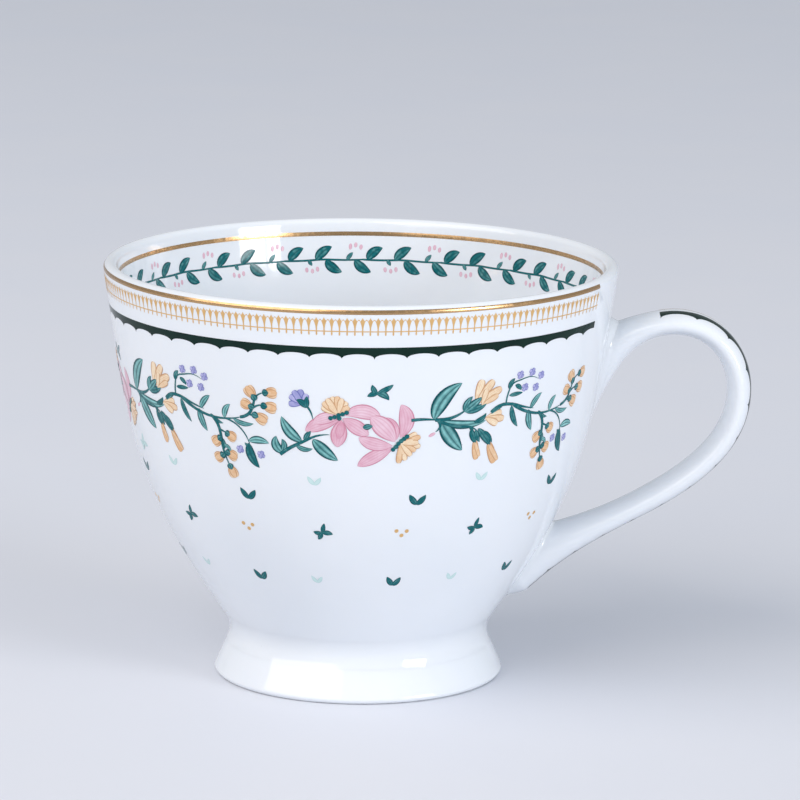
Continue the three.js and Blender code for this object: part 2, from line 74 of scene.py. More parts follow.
@dataclass
class Surface:
    """Closed shells: vertices in millimetres, faces, and each vertex's place on its pattern."""

    vertices: Array
    faces: list[Array]
    uv: Array
    tone: Array

    @classmethod
    def from_rings(cls, rings: Array, uv: Array | None = None, tone: Array | None = None,
                   is_loop: bool = False) -> "Surface":
        """Joins rings into shells: each ring's corners are joined to those of the next ring.

        An open shell's two ends are closed by a fan round the middle of the last ring.

        Args:
            rings: corners, shaped (shells, stations, sides, 3).
            uv: pattern place of each corner, shaped (shells, stations, sides, 2).
            tone: one value per shell, from 0 to 1.
            is_loop: whether the last ring joins the first.

        Returns:
            The shells, with their faces pointing outwards.
        """
        shells, stations, sides = rings.shape[:3]
        uv = np.zeros(rings.shape[:3] + (2,)) if uv is None else uv
        tone = np.zeros(shells) if tone is None else tone
        corner = np.arange(stations * sides).reshape(stations, sides)
        after = np.roll(corner, -1, axis=1)
        first, last = (corner, np.roll(corner, -1, axis=0)) if is_loop else (corner[:-1], corner[1:])
        first_after = after if is_loop else after[:-1]
        last_after = np.roll(after, -1, axis=0) if is_loop else after[1:]
        quads = np.stack([first, first_after, last_after, last], -1).reshape(-1, 4)
        points = rings.reshape(shells, -1, 3)
        places = uv.reshape(shells, -1, 2)
        faces = [quads]
        if not is_loop:
            ends = np.stack([rings[:, 0].mean(1), rings[:, -1].mean(1)], 1)
            end_uv = np.stack([uv[:, 0].mean(1), uv[:, -1].mean(1)], 1)
            points = np.concatenate([points, ends], 1)
            places = np.concatenate([places, end_uv], 1)
            start, end = stations * sides, stations * sides + 1
            open_fan = np.stack([np.full(sides, start), after[0], corner[0]], -1)
            close_fan = np.stack([np.full(sides, end), corner[-1], after[-1]], -1)
            faces.append(np.concatenate([open_fan, close_fan]))
        per_shell = points.shape[1]
        shift = (np.arange(shells) * per_shell)[:, None, None]
        faces = [(part[None] + shift).reshape(-1, part.shape[1]) for part in faces]
        surface = cls(points.reshape(-1, 3), faces, places.reshape(-1, 2), np.repeat(tone, per_shell))
        return surface.outward()

    @classmethod
    def strip(cls, rings: Array, share: Array, is_loop: bool = False) -> "Surface":
        """One strip of film, whose pattern runs across it by share and along it from 0 to 1.

        Args:
            rings: corners, shaped (stations, sides, 3).
            share: each corner's share across the strip.
            is_loop: whether the last ring joins the first.

        Returns:
            The closed strip.
        """
        run = np.linspace(0, 1, len(rings))[:, None]
        uv = np.stack(np.broadcast_arrays(share, run), -1)
        return cls.from_rings(rings[None], uv[None], np.array([FILM_TONE]), is_loop)

    @classmethod
    def joined(cls, parts: list["Surface"]) -> "Surface":
        """Puts several surfaces into one, each keeping its own faces.

        Args:
            parts: the surfaces.

        Returns:
            One surface.
        """
        counts = np.cumsum([0] + [len(part.vertices) for part in parts[:-1]])
        faces = [group + start for part, start in zip(parts, counts) for group in part.faces]
        return cls(
            np.concatenate([part.vertices for part in parts]),
            faces,
            np.concatenate([part.uv for part in parts]),
            np.concatenate([part.tone for part in parts]),
        )

    def outward(self) -> "Surface":
        """Turns every face round if the signed volume, a sum over the faces, is below zero.

        Returns:
            The same surface, with its faces pointing outwards.
        """
        middle = self.vertices.mean(0)
        volume = 0.0
        for group in self.faces:
            a, b, c = (self.vertices[group[:, i]] - middle for i in (0, 1, 2))
            volume += np.einsum("ij,ij->", a, np.cross(b, c))
            if group.shape[1] == 4:
                d = self.vertices[group[:, 3]] - middle
                volume += np.einsum("ij,ij->", a, np.cross(c, d))
        if volume < 0:
            self.faces = [group[:, ::-1] for group in self.faces]
        return self

    def piece(self, name: str, finish: "Finish", *stands_for: str) -> None:
        """Makes the object, with its pattern map and tone, riding on the cup's body.

        Args:
            name: the piece's name.
            finish: its material, with the record's slot for it.
            stands_for: the CAD nodes that it replaces.
        """
        mesh = bpy.data.meshes.new(name)
        faces = [face for group in self.faces for face in group.tolist()]
        mesh.from_pydata((self.vertices * MM).tolist(), [], faces)
        corners = np.empty(len(mesh.loops), np.int32)
        mesh.loops.foreach_get("vertex_index", corners)
        layer = mesh.uv_layers.new(name="pattern")
        layer.data.foreach_set("uv", self.uv[corners].astype(np.float32).ravel())
        tone = mesh.attributes.new("tone", "FLOAT", "POINT")
        tone.data.foreach_set("value", self.tone.astype(np.float32))
        mesh.polygons.foreach_set("use_smooth", np.ones(len(mesh.polygons), bool))
        mesh.set_sharp_from_angle(angle=CREASE)
        mesh.materials.append(finish.material)
        obj = add_object(name, mesh)
        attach(obj, "root")
        if stands_for:
            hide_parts(*stands_for)
        log.info("%s: %d faces, slot %s", name, len(mesh.polygons), finish.slot)


def cubic(points: Array, count: int) -> Array:
    """Bezier curve of four points: their blend by the cubic Bernstein weights at count shares.

    Args:
        points: the two ends and, between them, the two points that pull the curve.
        count: how many points to give.

    Returns:
        Points along the curve.
    """
    t = np.linspace(0, 1, count)[:, None]
    weights = ((1 - t) ** 3, 3 * (1 - t) ** 2 * t, 3 * (1 - t) * t**2, t**3)
    return sum(weight * point for weight, point in zip(weights, np.asarray(points, float)))


def bearing(degrees: float) -> Array:
    """Unit step at an angle from level."""
    return np.array([math.cos(math.radians(degrees)), math.sin(math.radians(degrees))])


def arc(middle: Array, radius: float, start: float, end: float, count: int) -> Array:
    """Points of a circle's arc from one angle to another, in degrees."""
    angle = np.radians(np.linspace(start, end, count))
    return np.asarray(middle) + radius * np.stack([np.cos(angle), np.sin(angle)], -1)


def strip_section(rows: int) -> tuple[Array, Array]:
    """Shares across a flat strip, over it and back under it, and which of them lie underneath.

    Args:
        rows: points across each face.

    Returns:
        The shares, and whether each is underneath.
    """
    share = np.concatenate([np.linspace(0, 1, rows), np.linspace(1, 0, rows)])
    return share, np.arange(2 * rows) >= rows


def scallops(run: Array, pitch: float, cusp: float, crest: float, power: float) -> Array:
    """An edge of arcs between cusps: half ellipses of the pitch, squared off by a power.

    Args:
        run: lengths along the edge.
        pitch: length of an arc.
        cusp: height of the edge between two arcs.
        crest: height of the edge at an arc's middle.
        power: below 1 it makes the arcs squarer.

    Returns:
        The height of the edge at each length.
    """
    phase = (run / pitch) % 1
    arch = np.sqrt(np.clip(1 - (2 * phase - 1) ** 2, 0, 1))
    return cusp + (crest - cusp) * arch**power


class Measured:
    """A curve looked up by its length, from a dense row of points."""

    def __init__(self, points: Array) -> None:
        """Sums the steps between the points, which gives the length at each.

        Args:
            points: a dense row of points along the curve.
        """
        self.points = points
        steps = np.linalg.norm(np.diff(points, axis=0), axis=1)
        self.run = np.concatenate([[0], np.cumsum(steps)])
        self.length = float(self.run[-1])
        self.ways = np.gradient(points, self.run, axis=0)
        self.ways /= np.linalg.norm(self.ways, axis=1, keepdims=True)

    def at(self, along: Array) -> Array:
        """Points at lengths along the curve, carried on straight before and after it.

        Args:
            along: lengths from its start.

        Returns:
            A point for each length.
        """
        inside = np.clip(along, 0, self.length)
        spot = np.stack([np.interp(inside, self.run, column) for column in self.points.T], -1)
        return spot + (np.asarray(along) - inside)[..., None] * self.way(inside)

    def way(self, along: Array) -> Array:
        """Unit steps along the curve at lengths along it."""
        way = np.stack([np.interp(along, self.run, column) for column in self.ways.T], -1)
        return way / np.linalg.norm(way, axis=-1, keepdims=True)


# ---- Finishes -----------------------------------------------------------------------------


def linear(hex_colour: str) -> tuple[float, float, float, float]:
    """Turns an sRGB hex colour to linear values, by the sRGB transfer curve."""
    channels = [int(hex_colour[i : i + 2], 16) / 255 for i in (1, 3, 5)]
    return (*[c / 12.92 if c <= 0.04045 else ((c + 0.055) / 1.055) ** 2.4 for c in channels], 1.0)


def add_node(tree: bpy.types.NodeTree, kind: str, settings: dict | None = None,
             links: dict | None = None) -> bpy.types.Node:
    """Adds a node to a tree.

    Args:
        tree: the material's tree.
        kind: the node's type name, without the ShaderNode before it.
        settings: values by the name of a property or input, or by an input's number.
        links: output sockets by the name or number of the input that they feed.

    Returns:
        The node.
    """
    node = tree.nodes.new("ShaderNode" + kind)
    for key, value in (settings or {}).items():
        if isinstance(key, str) and hasattr(node, key):
            setattr(node, key, value)
        else:
            node.inputs[key].default_value = value
    for key, source in (links or {}).items():
        tree.links.new(source, node.inputs[key])
    return node


def add_object(name: str, data: bpy.types.ID) -> bpy.types.Object:
    """Puts a mesh, a light or a camera into the scene under a name.

    Args:
        name: the object's name.
        data: its mesh, light or camera.

    Returns:
        The object.
    """
    obj = bpy.data.objects.new(name, data)
    bpy.context.scene.collection.objects.link(obj)
    return obj


def new_material(name: str) -> tuple[bpy.types.Material, bpy.types.NodeTree, bpy.types.NodeSocket]:
    """Starts a material: it, its emptied tree, and the Object coordinates its patterns follow.

    Args:
        name: the material's name.

    Returns:
        The material, its tree and the coordinates.
    """
    material = bpy.data.materials.new(name)
    material.use_nodes = True
    tree = material.node_tree
    tree.nodes.clear()
    return material, tree, add_node(tree, "TexCoord").outputs["Object"]


def per_metre(millimetres: float) -> float:
    """Texture scale that gives a pattern features of about that size."""
    return 1 / (millimetres * MM)


@dataclass(frozen=True)
class GlazedPorcelain:
    """Hard-paste porcelain under a clear glaze: cool white, glassy, hardly wavy, a few specks."""

    name: str = "glazed_porcelain"
    body: str = "#E1E5EB"
    pooled: str = "#DAE0E7"
    speck: str = "#9AA3A8"
    roughness: float = 0.07
    wave: float = 9.0  # size of the glaze's slow undulation
    wave_height: float = 0.012
    ripple: float = 1.3  # size of its fine orange peel
    speck_spacing: float = 7.0

    def build(self) -> bpy.types.Material:
        """White with slow patches of thicker, bluer glaze, rare iron specks and a soft wave.

        Returns:
            The material.
        """
        material, tree, coord = new_material(self.name)
        patches, wave, ripple = (
            add_node(tree, "TexNoise", {"Scale": per_metre(size), "Detail": detail}, {"Vector": coord})
            for size, detail in ((2 * self.wave, 3.0), (self.wave, 1.0), (self.ripple, 1.0)))
        colour = add_node(tree, "Mix",
                          {"data_type": "RGBA", 6: linear(self.body), 7: linear(self.pooled)},
                          {0: patches.outputs["Fac"]})
        cells = add_node(tree, "TexVoronoi", {"Scale": per_metre(self.speck_spacing)},
                         {"Vector": coord})
        dot = add_node(tree, "MapRange", {1: 0.006, 2: 0.02, 3: 0.5, 4: 0.0},
                       {0: cells.outputs["Distance"]})
        speckled = add_node(tree, "Mix", {"data_type": "RGBA", 7: linear(self.speck)},
                            {0: dot.outputs[0], 6: colour.outputs[2]})
        slow = add_node(tree, "Bump", {"Strength": 1.0, "Distance": self.wave_height * MM},
                        {"Height": wave.outputs["Fac"]})
        fine = add_node(tree, "Bump", {"Strength": 0.5, "Distance": 0.0006 * MM},
                        {"Height": ripple.outputs["Fac"], "Normal": slow.outputs["Normal"]})
        shader = add_node(
            tree, "BsdfPrincipled",
            {"Roughness": self.roughness, "IOR": 1.5, "Subsurface Weight": 0.12,
             "Subsurface Radius": (0.0022, 0.0019, 0.0016), "Subsurface Scale": 1.0},
            {"Base Color": speckled.outputs[2], "Normal": fine.outputs["Normal"]},
        )
        add_node(tree, "OutputMaterial", links={0: shader.outputs[0]})
        return material


@dataclass(frozen=True)
class BarePorcelain:
    """Unglazed porcelain, wiped clean before firing: matt, faintly grey, gritty from the kiln shelf."""

    name: str = "bare_porcelain"
    clay: str = "#CDD0D3"
    stain: str = "#8E9297"
    grit: float = 0.45

    def build(self) -> bpy.types.Material:
        """Matt clay with fine dark grit pressed into it.

        Returns:
            The material.
        """
        material, tree, coord = new_material(self.name)
        grit = add_node(tree, "TexNoise", {"Scale": per_metre(self.grit), "Detail": 4.0},
                        {"Vector": coord})
        dark = add_node(tree, "MapRange", {1: 0.52, 2: 0.7, 3: 0.0, 4: 0.85},
                        {0: grit.outputs["Fac"]})
        colour = add_node(tree, "Mix",
                          {"data_type": "RGBA", 6: linear(self.clay), 7: linear(self.stain)},
                          {0: dark.outputs[0]})
        bump = add_node(tree, "Bump", {"Strength": 0.6, "Distance": 0.03 * MM},
                        {"Height": grit.outputs["Fac"]})
        shader = add_node(tree, "BsdfPrincipled", {"Roughness": 0.65, "IOR": 1.5},
                          {"Base Color": colour.outputs[2], "Normal": bump.outputs["Normal"]})
        add_node(tree, "OutputMaterial", links={0: shader.outputs[0]})
        return material


@dataclass(frozen=True)
class Gilding:
    """Liquid gold fired on and burnished: a thin warm metal film with brush streaks and wear."""

    name: str
    metal: str = "#C9A67A"
    worn: str = "#B08D66"
    metallic: float = 1.0
    roughness: float = 0.2
    streak: float = 0.9

    def build(self) -> bpy.types.Material:
        """Gold that varies in colour and polish over a millimetre or so.

        Returns:
            The material.
        """
        material, tree, coord = new_material(self.name)
        streak = add_node(tree, "TexNoise", {"Scale": per_metre(self.streak), "Detail": 3.0},
                          {"Vector": coord})
        colour = add_node(tree, "Mix",
                          {"data_type": "RGBA", 6: linear(self.metal), 7: linear(self.worn)},
                          {0: streak.outputs["Fac"]})
        polish = add_node(tree, "MapRange",
                          {1: 0.3, 2: 0.7, 3: self.roughness - 0.06, 4: self.roughness + 0.14},
                          {0: streak.outputs["Fac"]})
        bump = add_node(tree, "Bump", {"Strength": 0.3, "Distance": 0.004 * MM},
                        {"Height": streak.outputs["Fac"]})
        shader = add_node(tree, "BsdfPrincipled", {"Metallic": self.metallic},
                          {"Base Color": colour.outputs[2], "Roughness": polish.outputs[0],
                           "Normal": bump.outputs["Normal"]})
        add_node(tree, "OutputMaterial", links={0: shader.outputs[0]})
        return material


@dataclass(frozen=True)
class Enamel:
    """On-glaze enamel, printed and fired: a thin glassy colour with drawn outlines and washes.

    The pattern map runs across a stroke (0 to 1) and along it (0 to 1); tone is its lightness.
    """

    name: str
    outline: str
    deep: str
    light: str
    outline_start: float = 0.78  # share of the half width where the drawn outline begins
    vein: float = 0.0  # strength of the line down the middle
    hatching: float = 0.0  # strength of the fine lines along the stroke
    wash: float = 1.1  # size of the uneven wash
    roughness: float = 0.13
    specular: float = 0.5

    def build(self) -> bpy.types.Material:
        """Deep and light washes mixed by tone and noise, then a vein, hatching and an outline.

        Returns:
            The material.
        """
        material, tree, coord = new_material(self.name)
        pattern = add_node(tree, "UVMap", {"uv_map": "pattern"})
        split = add_node(tree, "SeparateXYZ", {}, {0: pattern.outputs[0]})
        across = add_node(tree, "Math", {"operation": "MULTIPLY_ADD", 1: 2.0, 2: -1.0},
                          {0: split.outputs[0]})
        off_middle = add_node(tree, "Math", {"operation": "ABSOLUTE"}, {0: across.outputs[0]})
        wash = add_node(tree, "TexNoise", {"Scale": per_metre(self.wash), "Detail": 3.0},
                        {"Vector": coord})
        tone = add_node(tree, "Attribute", {"attribute_name": "tone"})
        uneven = add_node(tree, "Math", {"operation": "MULTIPLY_ADD", 1: 1.2, 2: -0.6},
                          {0: wash.outputs["Fac"]})
        lightness = add_node(tree, "Math", {"operation": "ADD", "use_clamp": True},
                             {0: uneven.outputs[0], 1: tone.outputs["Fac"]})
        colour = add_node(tree, "Mix",
                          {"data_type": "RGBA", 6: linear(self.deep), 7: linear(self.light)},
                          {0: lightness.outputs[0]})
        distance = off_middle.outputs[0]
        drawn = [(distance, {1: self.outline_start - 0.12, 2: self.outline_start + 0.08, 3: 0.0, 4: 1.0})]
        if self.vein:
            drawn.insert(0, (distance, {1: 0.05, 2: 0.2, 3: self.vein, 4: 0.0}))
        if self.hatching:
            lines = add_node(tree, "TexWave", {"wave_type": "BANDS", "bands_direction": "X", "Scale": 1.6,
                                               "Distortion": 1.5, "Detail": 2.0},
                             {"Vector": pattern.outputs[0]})
            drawn.insert(0, (lines.outputs["Fac"], {1: 0.1, 2: 0.45, 3: self.hatching, 4: 0.0}))
        for source, limits in drawn:  # the outline's colour over the washes, through each mask in turn
            mask = add_node(tree, "MapRange", limits, {0: source})
            colour = add_node(tree, "Mix", {"data_type": "RGBA", 7: linear(self.outline)},
                              {0: mask.outputs[0], 6: colour.outputs[2]})
        bump = add_node(tree, "Bump", {"Strength": 0.3, "Distance": 0.004 * MM},
                        {"Height": wash.outputs["Fac"]})
        shader = add_node(tree, "BsdfPrincipled",
                          {"Roughness": self.roughness, "Specular IOR Level": self.specular},
                          {"Base Color": colour.outputs[2], "Normal": bump.outputs["Normal"]})
        add_node(tree, "OutputMaterial", links={0: shader.outputs[0]})
        return material


@dataclass(frozen=True)
class Finish:
    """A built material and the record's slot for it."""

    slot: str
    material: bpy.types.Material


class Finishes:
    """The cup's finishes, each built once."""

    def __init__(self) -> None:
        """Builds every finish."""
        self.porcelain = Finish("glazed_porcelain", GlazedPorcelain().build())
        self.bare = Finish("bare_porcelain", BarePorcelain().build())
        self.gilt_line = Finish("gilding", Gilding("gilding_burnished_line").build())
        self.gilt_print = Finish("gilding", Gilding(
            "gilding_printed", metal="#DDB67C", worn="#C99F66", metallic=0.35, roughness=0.38,
            streak=0.6).build())
        self.dark_green = Finish("dark_green_enamel", Enamel(
            "enamel_dark_green", outline="#0B211D", deep="#0B211D", light="#123029",
            outline_start=0.97, wash=3.0, specular=0.12).build())
        self.leaf = Finish("leaf_green_enamel", Enamel(
            "enamel_leaf_green", outline="#034A50", deep="#05646A", light="#8FCBCB",
            outline_start=0.68, vein=0.8, hatching=0.3, specular=0.25).build())
        self.pale_leaf = Finish("pale_green_enamel", Enamel(
            "enamel_pale_green", outline="#A9CCCC", deep="#B4D2D3", light="#C9DEE0").build())
        self.pink = Finish("pink_enamel", Enamel(
            "enamel_pink", outline="#BE7890", deep="#CB92A8", light="#DFC4D2",
            outline_start=0.86, hatching=0.3, wash=1.6, specular=0.25).build())
        self.apricot = Finish("apricot_enamel", Enamel(
            "enamel_apricot", outline="#B98A62", deep="#D8B088", light="#EBDCC2",
            outline_start=0.78, hatching=0.35, wash=0.7, specular=0.25).build())
        self.violet = Finish("violet_enamel", Enamel(
            "enamel_violet", outline="#5F66A6", deep="#8C8FC2", light="#BCBADF",
            outline_start=0.74, wash=0.7, specular=0.25).build())


# ---- The wall -----------------------------------------------------------------------------


class Side(Enum):
    """The two faces of the wall, by the way each faces from the wall's middle."""

    OUTSIDE = 1
    INSIDE = -1


@dataclass
class Wall:
    """The bowl's wall: a curve turned about the cup's axis, thicker low down, round at the lip."""

    neck_radius: float = 23.2
    lip_wall: float = 2.4
    base_wall: float = 3.8
    floor_thickness: float = 4.0
    floor_turn: float = 0.2
    neck_slope: float = 55.0
    neck_pull: float = 0.456
    rim_lean: float = 8.3
    rim_pull: float = 0.5145
    curve_points: int = 3000

    def __post_init__(self) -> None:
        """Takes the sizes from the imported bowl's box and measures the wall's curve."""
        low, high = (np.array(corner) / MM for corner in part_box("bowl"))
        self.axis_x = (low[0] + high[0]) / 2
        self.axis_y = (low[1] + high[1]) / 2
        self.rim_radius = (high[0] - low[0]) / 2
        self.height, self.neck_height = high[2], low[2]
        self.lip_radius = self.lip_wall / 2
        rise = self.height - self.neck_height
        neck = np.array([self.neck_radius, self.neck_height])
        rim_way = bearing(90 - self.rim_lean)
        rim = np.array([self.rim_radius, self.height - self.lip_radius * (1 + rim_way[0])])
        controls = (neck, neck + self.neck_pull * rise * bearing(self.neck_slope),
                    rim - self.rim_pull * rise * rim_way, rim)
        self.curve = Measured(cubic(controls, self.curve_points))
        self.lip_centre = self.face(np.array(1.0), -self.lip_radius)

    def face(self, share: Array, out: Array | float = 0.0) -> Array:
        """Points at shares of the wall's length from the neck, moved out along its normal.

        Args:
            share: share of the wall's length, from 0 at the neck to 1.
            out: distance off it.

        Returns:
            Points as (radius, height).
        """
        along = np.asarray(share) * self.curve.length
        way = self.curve.way(np.clip(along, 0, self.curve.length))
        normal = np.stack([way[..., 1], -way[..., 0]], -1)
        return self.curve.at(along) + np.asarray(out)[..., None] * normal

    def thickness(self, share: Array) -> Array:
        """Wall thickness: the lip's, growing with the square of the distance from it."""
        return self.lip_wall + (self.base_wall - self.lip_wall) * (1 - share) ** 2

    def inner_face(self, share: Array, out: Array | float = 0.0) -> Array:
        """Points on the wall's inner face, moved into the cup's space."""
        return self.face(share, -self.thickness(share) - out)

    def radius_at(self, height: Array) -> Array:
        """Outside radius of the wall at a height."""
        points = self.curve.points
        return np.interp(height, points[:, 1], points[:, 0])

    def profile(self, side: Side, drop: Array, out: Array | float = 0.0) -> Array:
        """Points at a drop below the top: round the lip by height, then down the wall by length.

        Args:
            side: the face.
            drop: millimetres down from the lip's top.
            out: distance off the glaze.

        Returns:
            Points as (radius, height).
        """
        drop, out = np.broadcast_arrays(np.asarray(drop, float), np.asarray(out, float))
        way = side.value
        lean = math.radians(self.rim_lean)
        wall_end = self.height - (self.lip_centre[1] - way * self.lip_radius * math.sin(lean))
        share = 1 - (drop - wall_end) / self.curve.length
        on_wall = self.face(share, out) if side is Side.OUTSIDE else self.inner_face(share, out)
        rise = np.clip((self.height - drop - self.lip_centre[1]) / self.lip_radius, -1, 1)
        angle = np.arcsin(rise)
        reach = self.lip_radius + out
        on_lip = self.lip_centre + np.stack([way * reach * np.cos(angle), reach * np.sin(angle)], -1)
        return np.where((drop < wall_end)[..., None], on_lip, on_wall)

    def turn(self, flat: Array, angle: Array) -> Array:
        """Turns (radius, height) points about the axis to angles from the front, towards +X.

        Args:
            flat: points as (radius, height).
            angle: angles from the front.

        Returns:
            Points in the row frame.
        """
        radius, height = flat[..., 0], flat[..., 1]
        return np.stack([self.axis_x + radius * np.sin(angle),
                         self.axis_y - radius * np.cos(angle), height + 0 * angle], -1)

    def place(self, side: Side, around: Array, drop: Array, out: Array | float = 0.0) -> Array:
        """Lays chart points on a face of the wall.

        Args:
            side: the face. Inside, "around" starts at the back and runs towards +X.
            around: millimetres along the chart's circle.
            drop: millimetres down from the lip's top.
            out: distance off the glaze.

        Returns:
            The points in the row frame.
        """
        angle = np.asarray(around) / CHART_RADIUS
        if side is Side.INSIDE:
            angle = math.pi - angle
        return self.turn(self.profile(side, drop, out), angle)

    def turned(self, profile: Array, steps: int, is_loop: bool) -> Surface:
        """Turns a profile about the axis, closed at its ends on the axis or round as a loop.

        Args:
            profile: points as (radius, height).
            steps: how many go round.
            is_loop: whether the profile closes on itself.

        Returns:
            The turned surface.
        """
        angle = np.linspace(0, 2 * math.pi, steps, endpoint=False)
        rings = self.turn(profile[:, None, :] + np.zeros((1, steps, 1)), angle[None, :])
        return Surface.from_rings(rings[None], is_loop=is_loop)


@dataclass
class Bowl:
    """The thrown bowl: flaring wall, round lip, and a floor that dishes into the middle."""

    wall: Wall
    steps: int = 320
    wall_rows: int = 100
    inner_rows: int = 85
    lip_rows: int = 18
    floor_rows: int = 26
    under_rows: int = 6
    pole: float = 0.4  # radius of the last ring round the axis, which a fan closes
    under_inset: float = 0.3  # from the neck's edge to the under-face

    def profile(self) -> Array:
        """Under-face, outer wall, lip, inner wall and floor, from the axis back to the axis.

        Returns:
            Points as (radius, height).
        """
        wall = self.wall
        under = np.stack([np.linspace(self.pole, wall.neck_radius - self.under_inset, self.under_rows),
                          np.full(self.under_rows, wall.neck_height)], -1)
        outer = wall.face(np.linspace(0, 1, self.wall_rows))
        lean = wall.rim_lean
        lip = arc(wall.lip_centre, wall.lip_radius, -lean, 180 - lean, self.lip_rows)[1:-1]
        inner = wall.inner_face(np.linspace(1, wall.floor_turn, self.inner_rows))
        turn = inner[-1]
        slope = wall.curve.way(np.array(wall.floor_turn * wall.curve.length))
        level = wall.neck_height + wall.floor_thickness
        control = np.array([turn[0] - (turn[1] - level) / slope[1] * slope[0], level])
        t = np.linspace(0, 1, self.floor_rows)[1:, None]
        middle = np.array([self.pole, level])
        floor = (1 - t) ** 2 * turn + 2 * t * (1 - t) * control + t**2 * middle
        return np.concatenate([under, outer, lip, inner, floor])

    def build(self, finishes: Finishes) -> None:
        """Makes the bowl.

        Args:
            finishes: the cup's finishes.
        """
        surface = self.wall.turned(self.profile(), self.steps, is_loop=False)
        surface.piece("bowl_body", finishes.porcelain, "bowl")


@dataclass
class Foot:
    """The turned pedestal: a flared ring, a bare edge that it stands on, and a slip fillet."""

    wall: Wall
    radius: float = 26.7
    edge_round: float = 0.9
    ring_width: float = 1.8
    inner_round: float = 0.35
    wall_thickness: float = 2.8
    recess_pulls: tuple[tuple[float, float], ...] = ((0.3, 5.2), (-0.5, 2.4))  # offset and height
    fillet_rise: float = 2.9
    fillet_pull: float = 2.2
    fillet_spread: float = 1.1  # run up the bowl's wall for each millimetre of rise
    fillet_back: tuple[float, float] = (1.6, 0.2)  # how far its hidden corners lie behind its ends
    bare_rise: float = 0.16
    bare_skin: float = 0.012
    bare_sink: float = 0.05
    bare_inset: float = 0.3
    steps: int = 288

    def slope(self) -> Array:
        """Unit step up the foot's outer slope, from its rounded edge to the neck.

        Returns:
            The step as (radius, height).
        """
        top = np.array([self.wall.neck_radius, self.wall.neck_height])
        step = top - np.array([self.radius, self.edge_round])
        return step / np.linalg.norm(step)

    def profile(self) -> Array:
        """Recess, rounded standing ring, outer slope and the hidden top, as a loop.

        Returns:
            Points as (radius, height).
        """
        wall = self.wall
        recess_top = wall.neck_radius - self.wall_thickness
        outer = self.radius - self.edge_round
        inner = outer - self.ring_width
        corner = self.inner_round
        high, low = self.recess_pulls
        recess = cubic([(recess_top, wall.neck_height), (recess_top + high[0], high[1]),
                        (inner + low[0], low[1]), (inner, corner)], 16)
        inside_edge = arc((inner + corner, corner), corner, 180, 270, 6)[1:]
        outside_edge = arc((outer, self.edge_round), self.edge_round, -90, 0, 12)
        share = np.linspace(0, 1, 24)[1:, None]
        start = outside_edge[-1]
        end = np.array([wall.neck_radius, wall.neck_height])
        return np.concatenate([recess, inside_edge, outside_edge, start + share * (end - start)])

    def fillet_profile(self) -> Array:
        """A hollow curve from the foot's slope to the bowl's wall, closed behind by two corners.

        Returns:
            Points as (radius, height).
        """
        wall = self.wall
        up = self.slope()
        low_height = wall.neck_height - self.fillet_rise
        low = np.array([self.radius, self.edge_round])
        low = low + up * (low_height - self.edge_round) / up[1]
        share = self.fillet_rise * self.fillet_spread / wall.curve.length
        high = wall.face(np.array(share))
        way = wall.curve.way(np.array(share * wall.curve.length))
        hollow = cubic([low, low + self.fillet_pull * up, high - self.fillet_pull * way, high], 18)
        inwards, apart = self.fillet_back
        behind = np.array([[high[0] - inwards, high[1] + apart], [low[0] - inwards, low[1] - apart]])
        return np.concatenate([hollow, behind])

    def bare_profile(self) -> Array:
        """The wiped ring: a thin skin round the standing face, up to where the glaze begins.

        Returns:
            Points as (radius, height).
        """
        outer = self.radius - self.edge_round
        back = outer - self.ring_width + self.bare_inset
        angle = math.degrees(math.acos(1 - self.bare_rise / self.edge_round))
        lower = arc((outer, self.edge_round), self.edge_round + self.bare_skin, -90, -90 + angle, 8)
        lower[:, 1] = np.maximum(lower[:, 1], 0)
        upper = arc((outer, self.edge_round), self.edge_round - self.bare_sink, -90 + angle, -90, 8)
        return np.concatenate([[[back, 0.0]], lower, upper, [[back, self.bare_sink]]])

    def build(self, finishes: Finishes) -> None:
        """Makes the foot, its bare ring and the fillet under the bowl.

        Args:
            finishes: the cup's finishes.
        """
        for name, profile, finish, nodes in (
            ("foot_ring", self.profile(), finishes.porcelain, ("foot",)),
            ("foot_bare_edge", self.bare_profile(), finishes.bare, ()),
            ("foot_slip_fillet", self.fillet_profile(), finishes.porcelain, ("foot_slip_joint",)),
        ):
            self.wall.turned(profile, self.steps, is_loop=True).piece(name, finish, *nodes)


# ---- The handle ---------------------------------------------------------------------------


@dataclass(frozen=True)
class Root:
    """One end of the strap, where it flares onto the wall.

    angle is how steeply it leaves the wall; spread and widen are what the flare adds to half
    the strap's thickness and width, over length; hug and skirt are how far the slip fillet
    runs up the strap and out over the wall.
    """

    angle: float
    spread: float
    widen: float
    length: float
    hug: float
    skirt: float


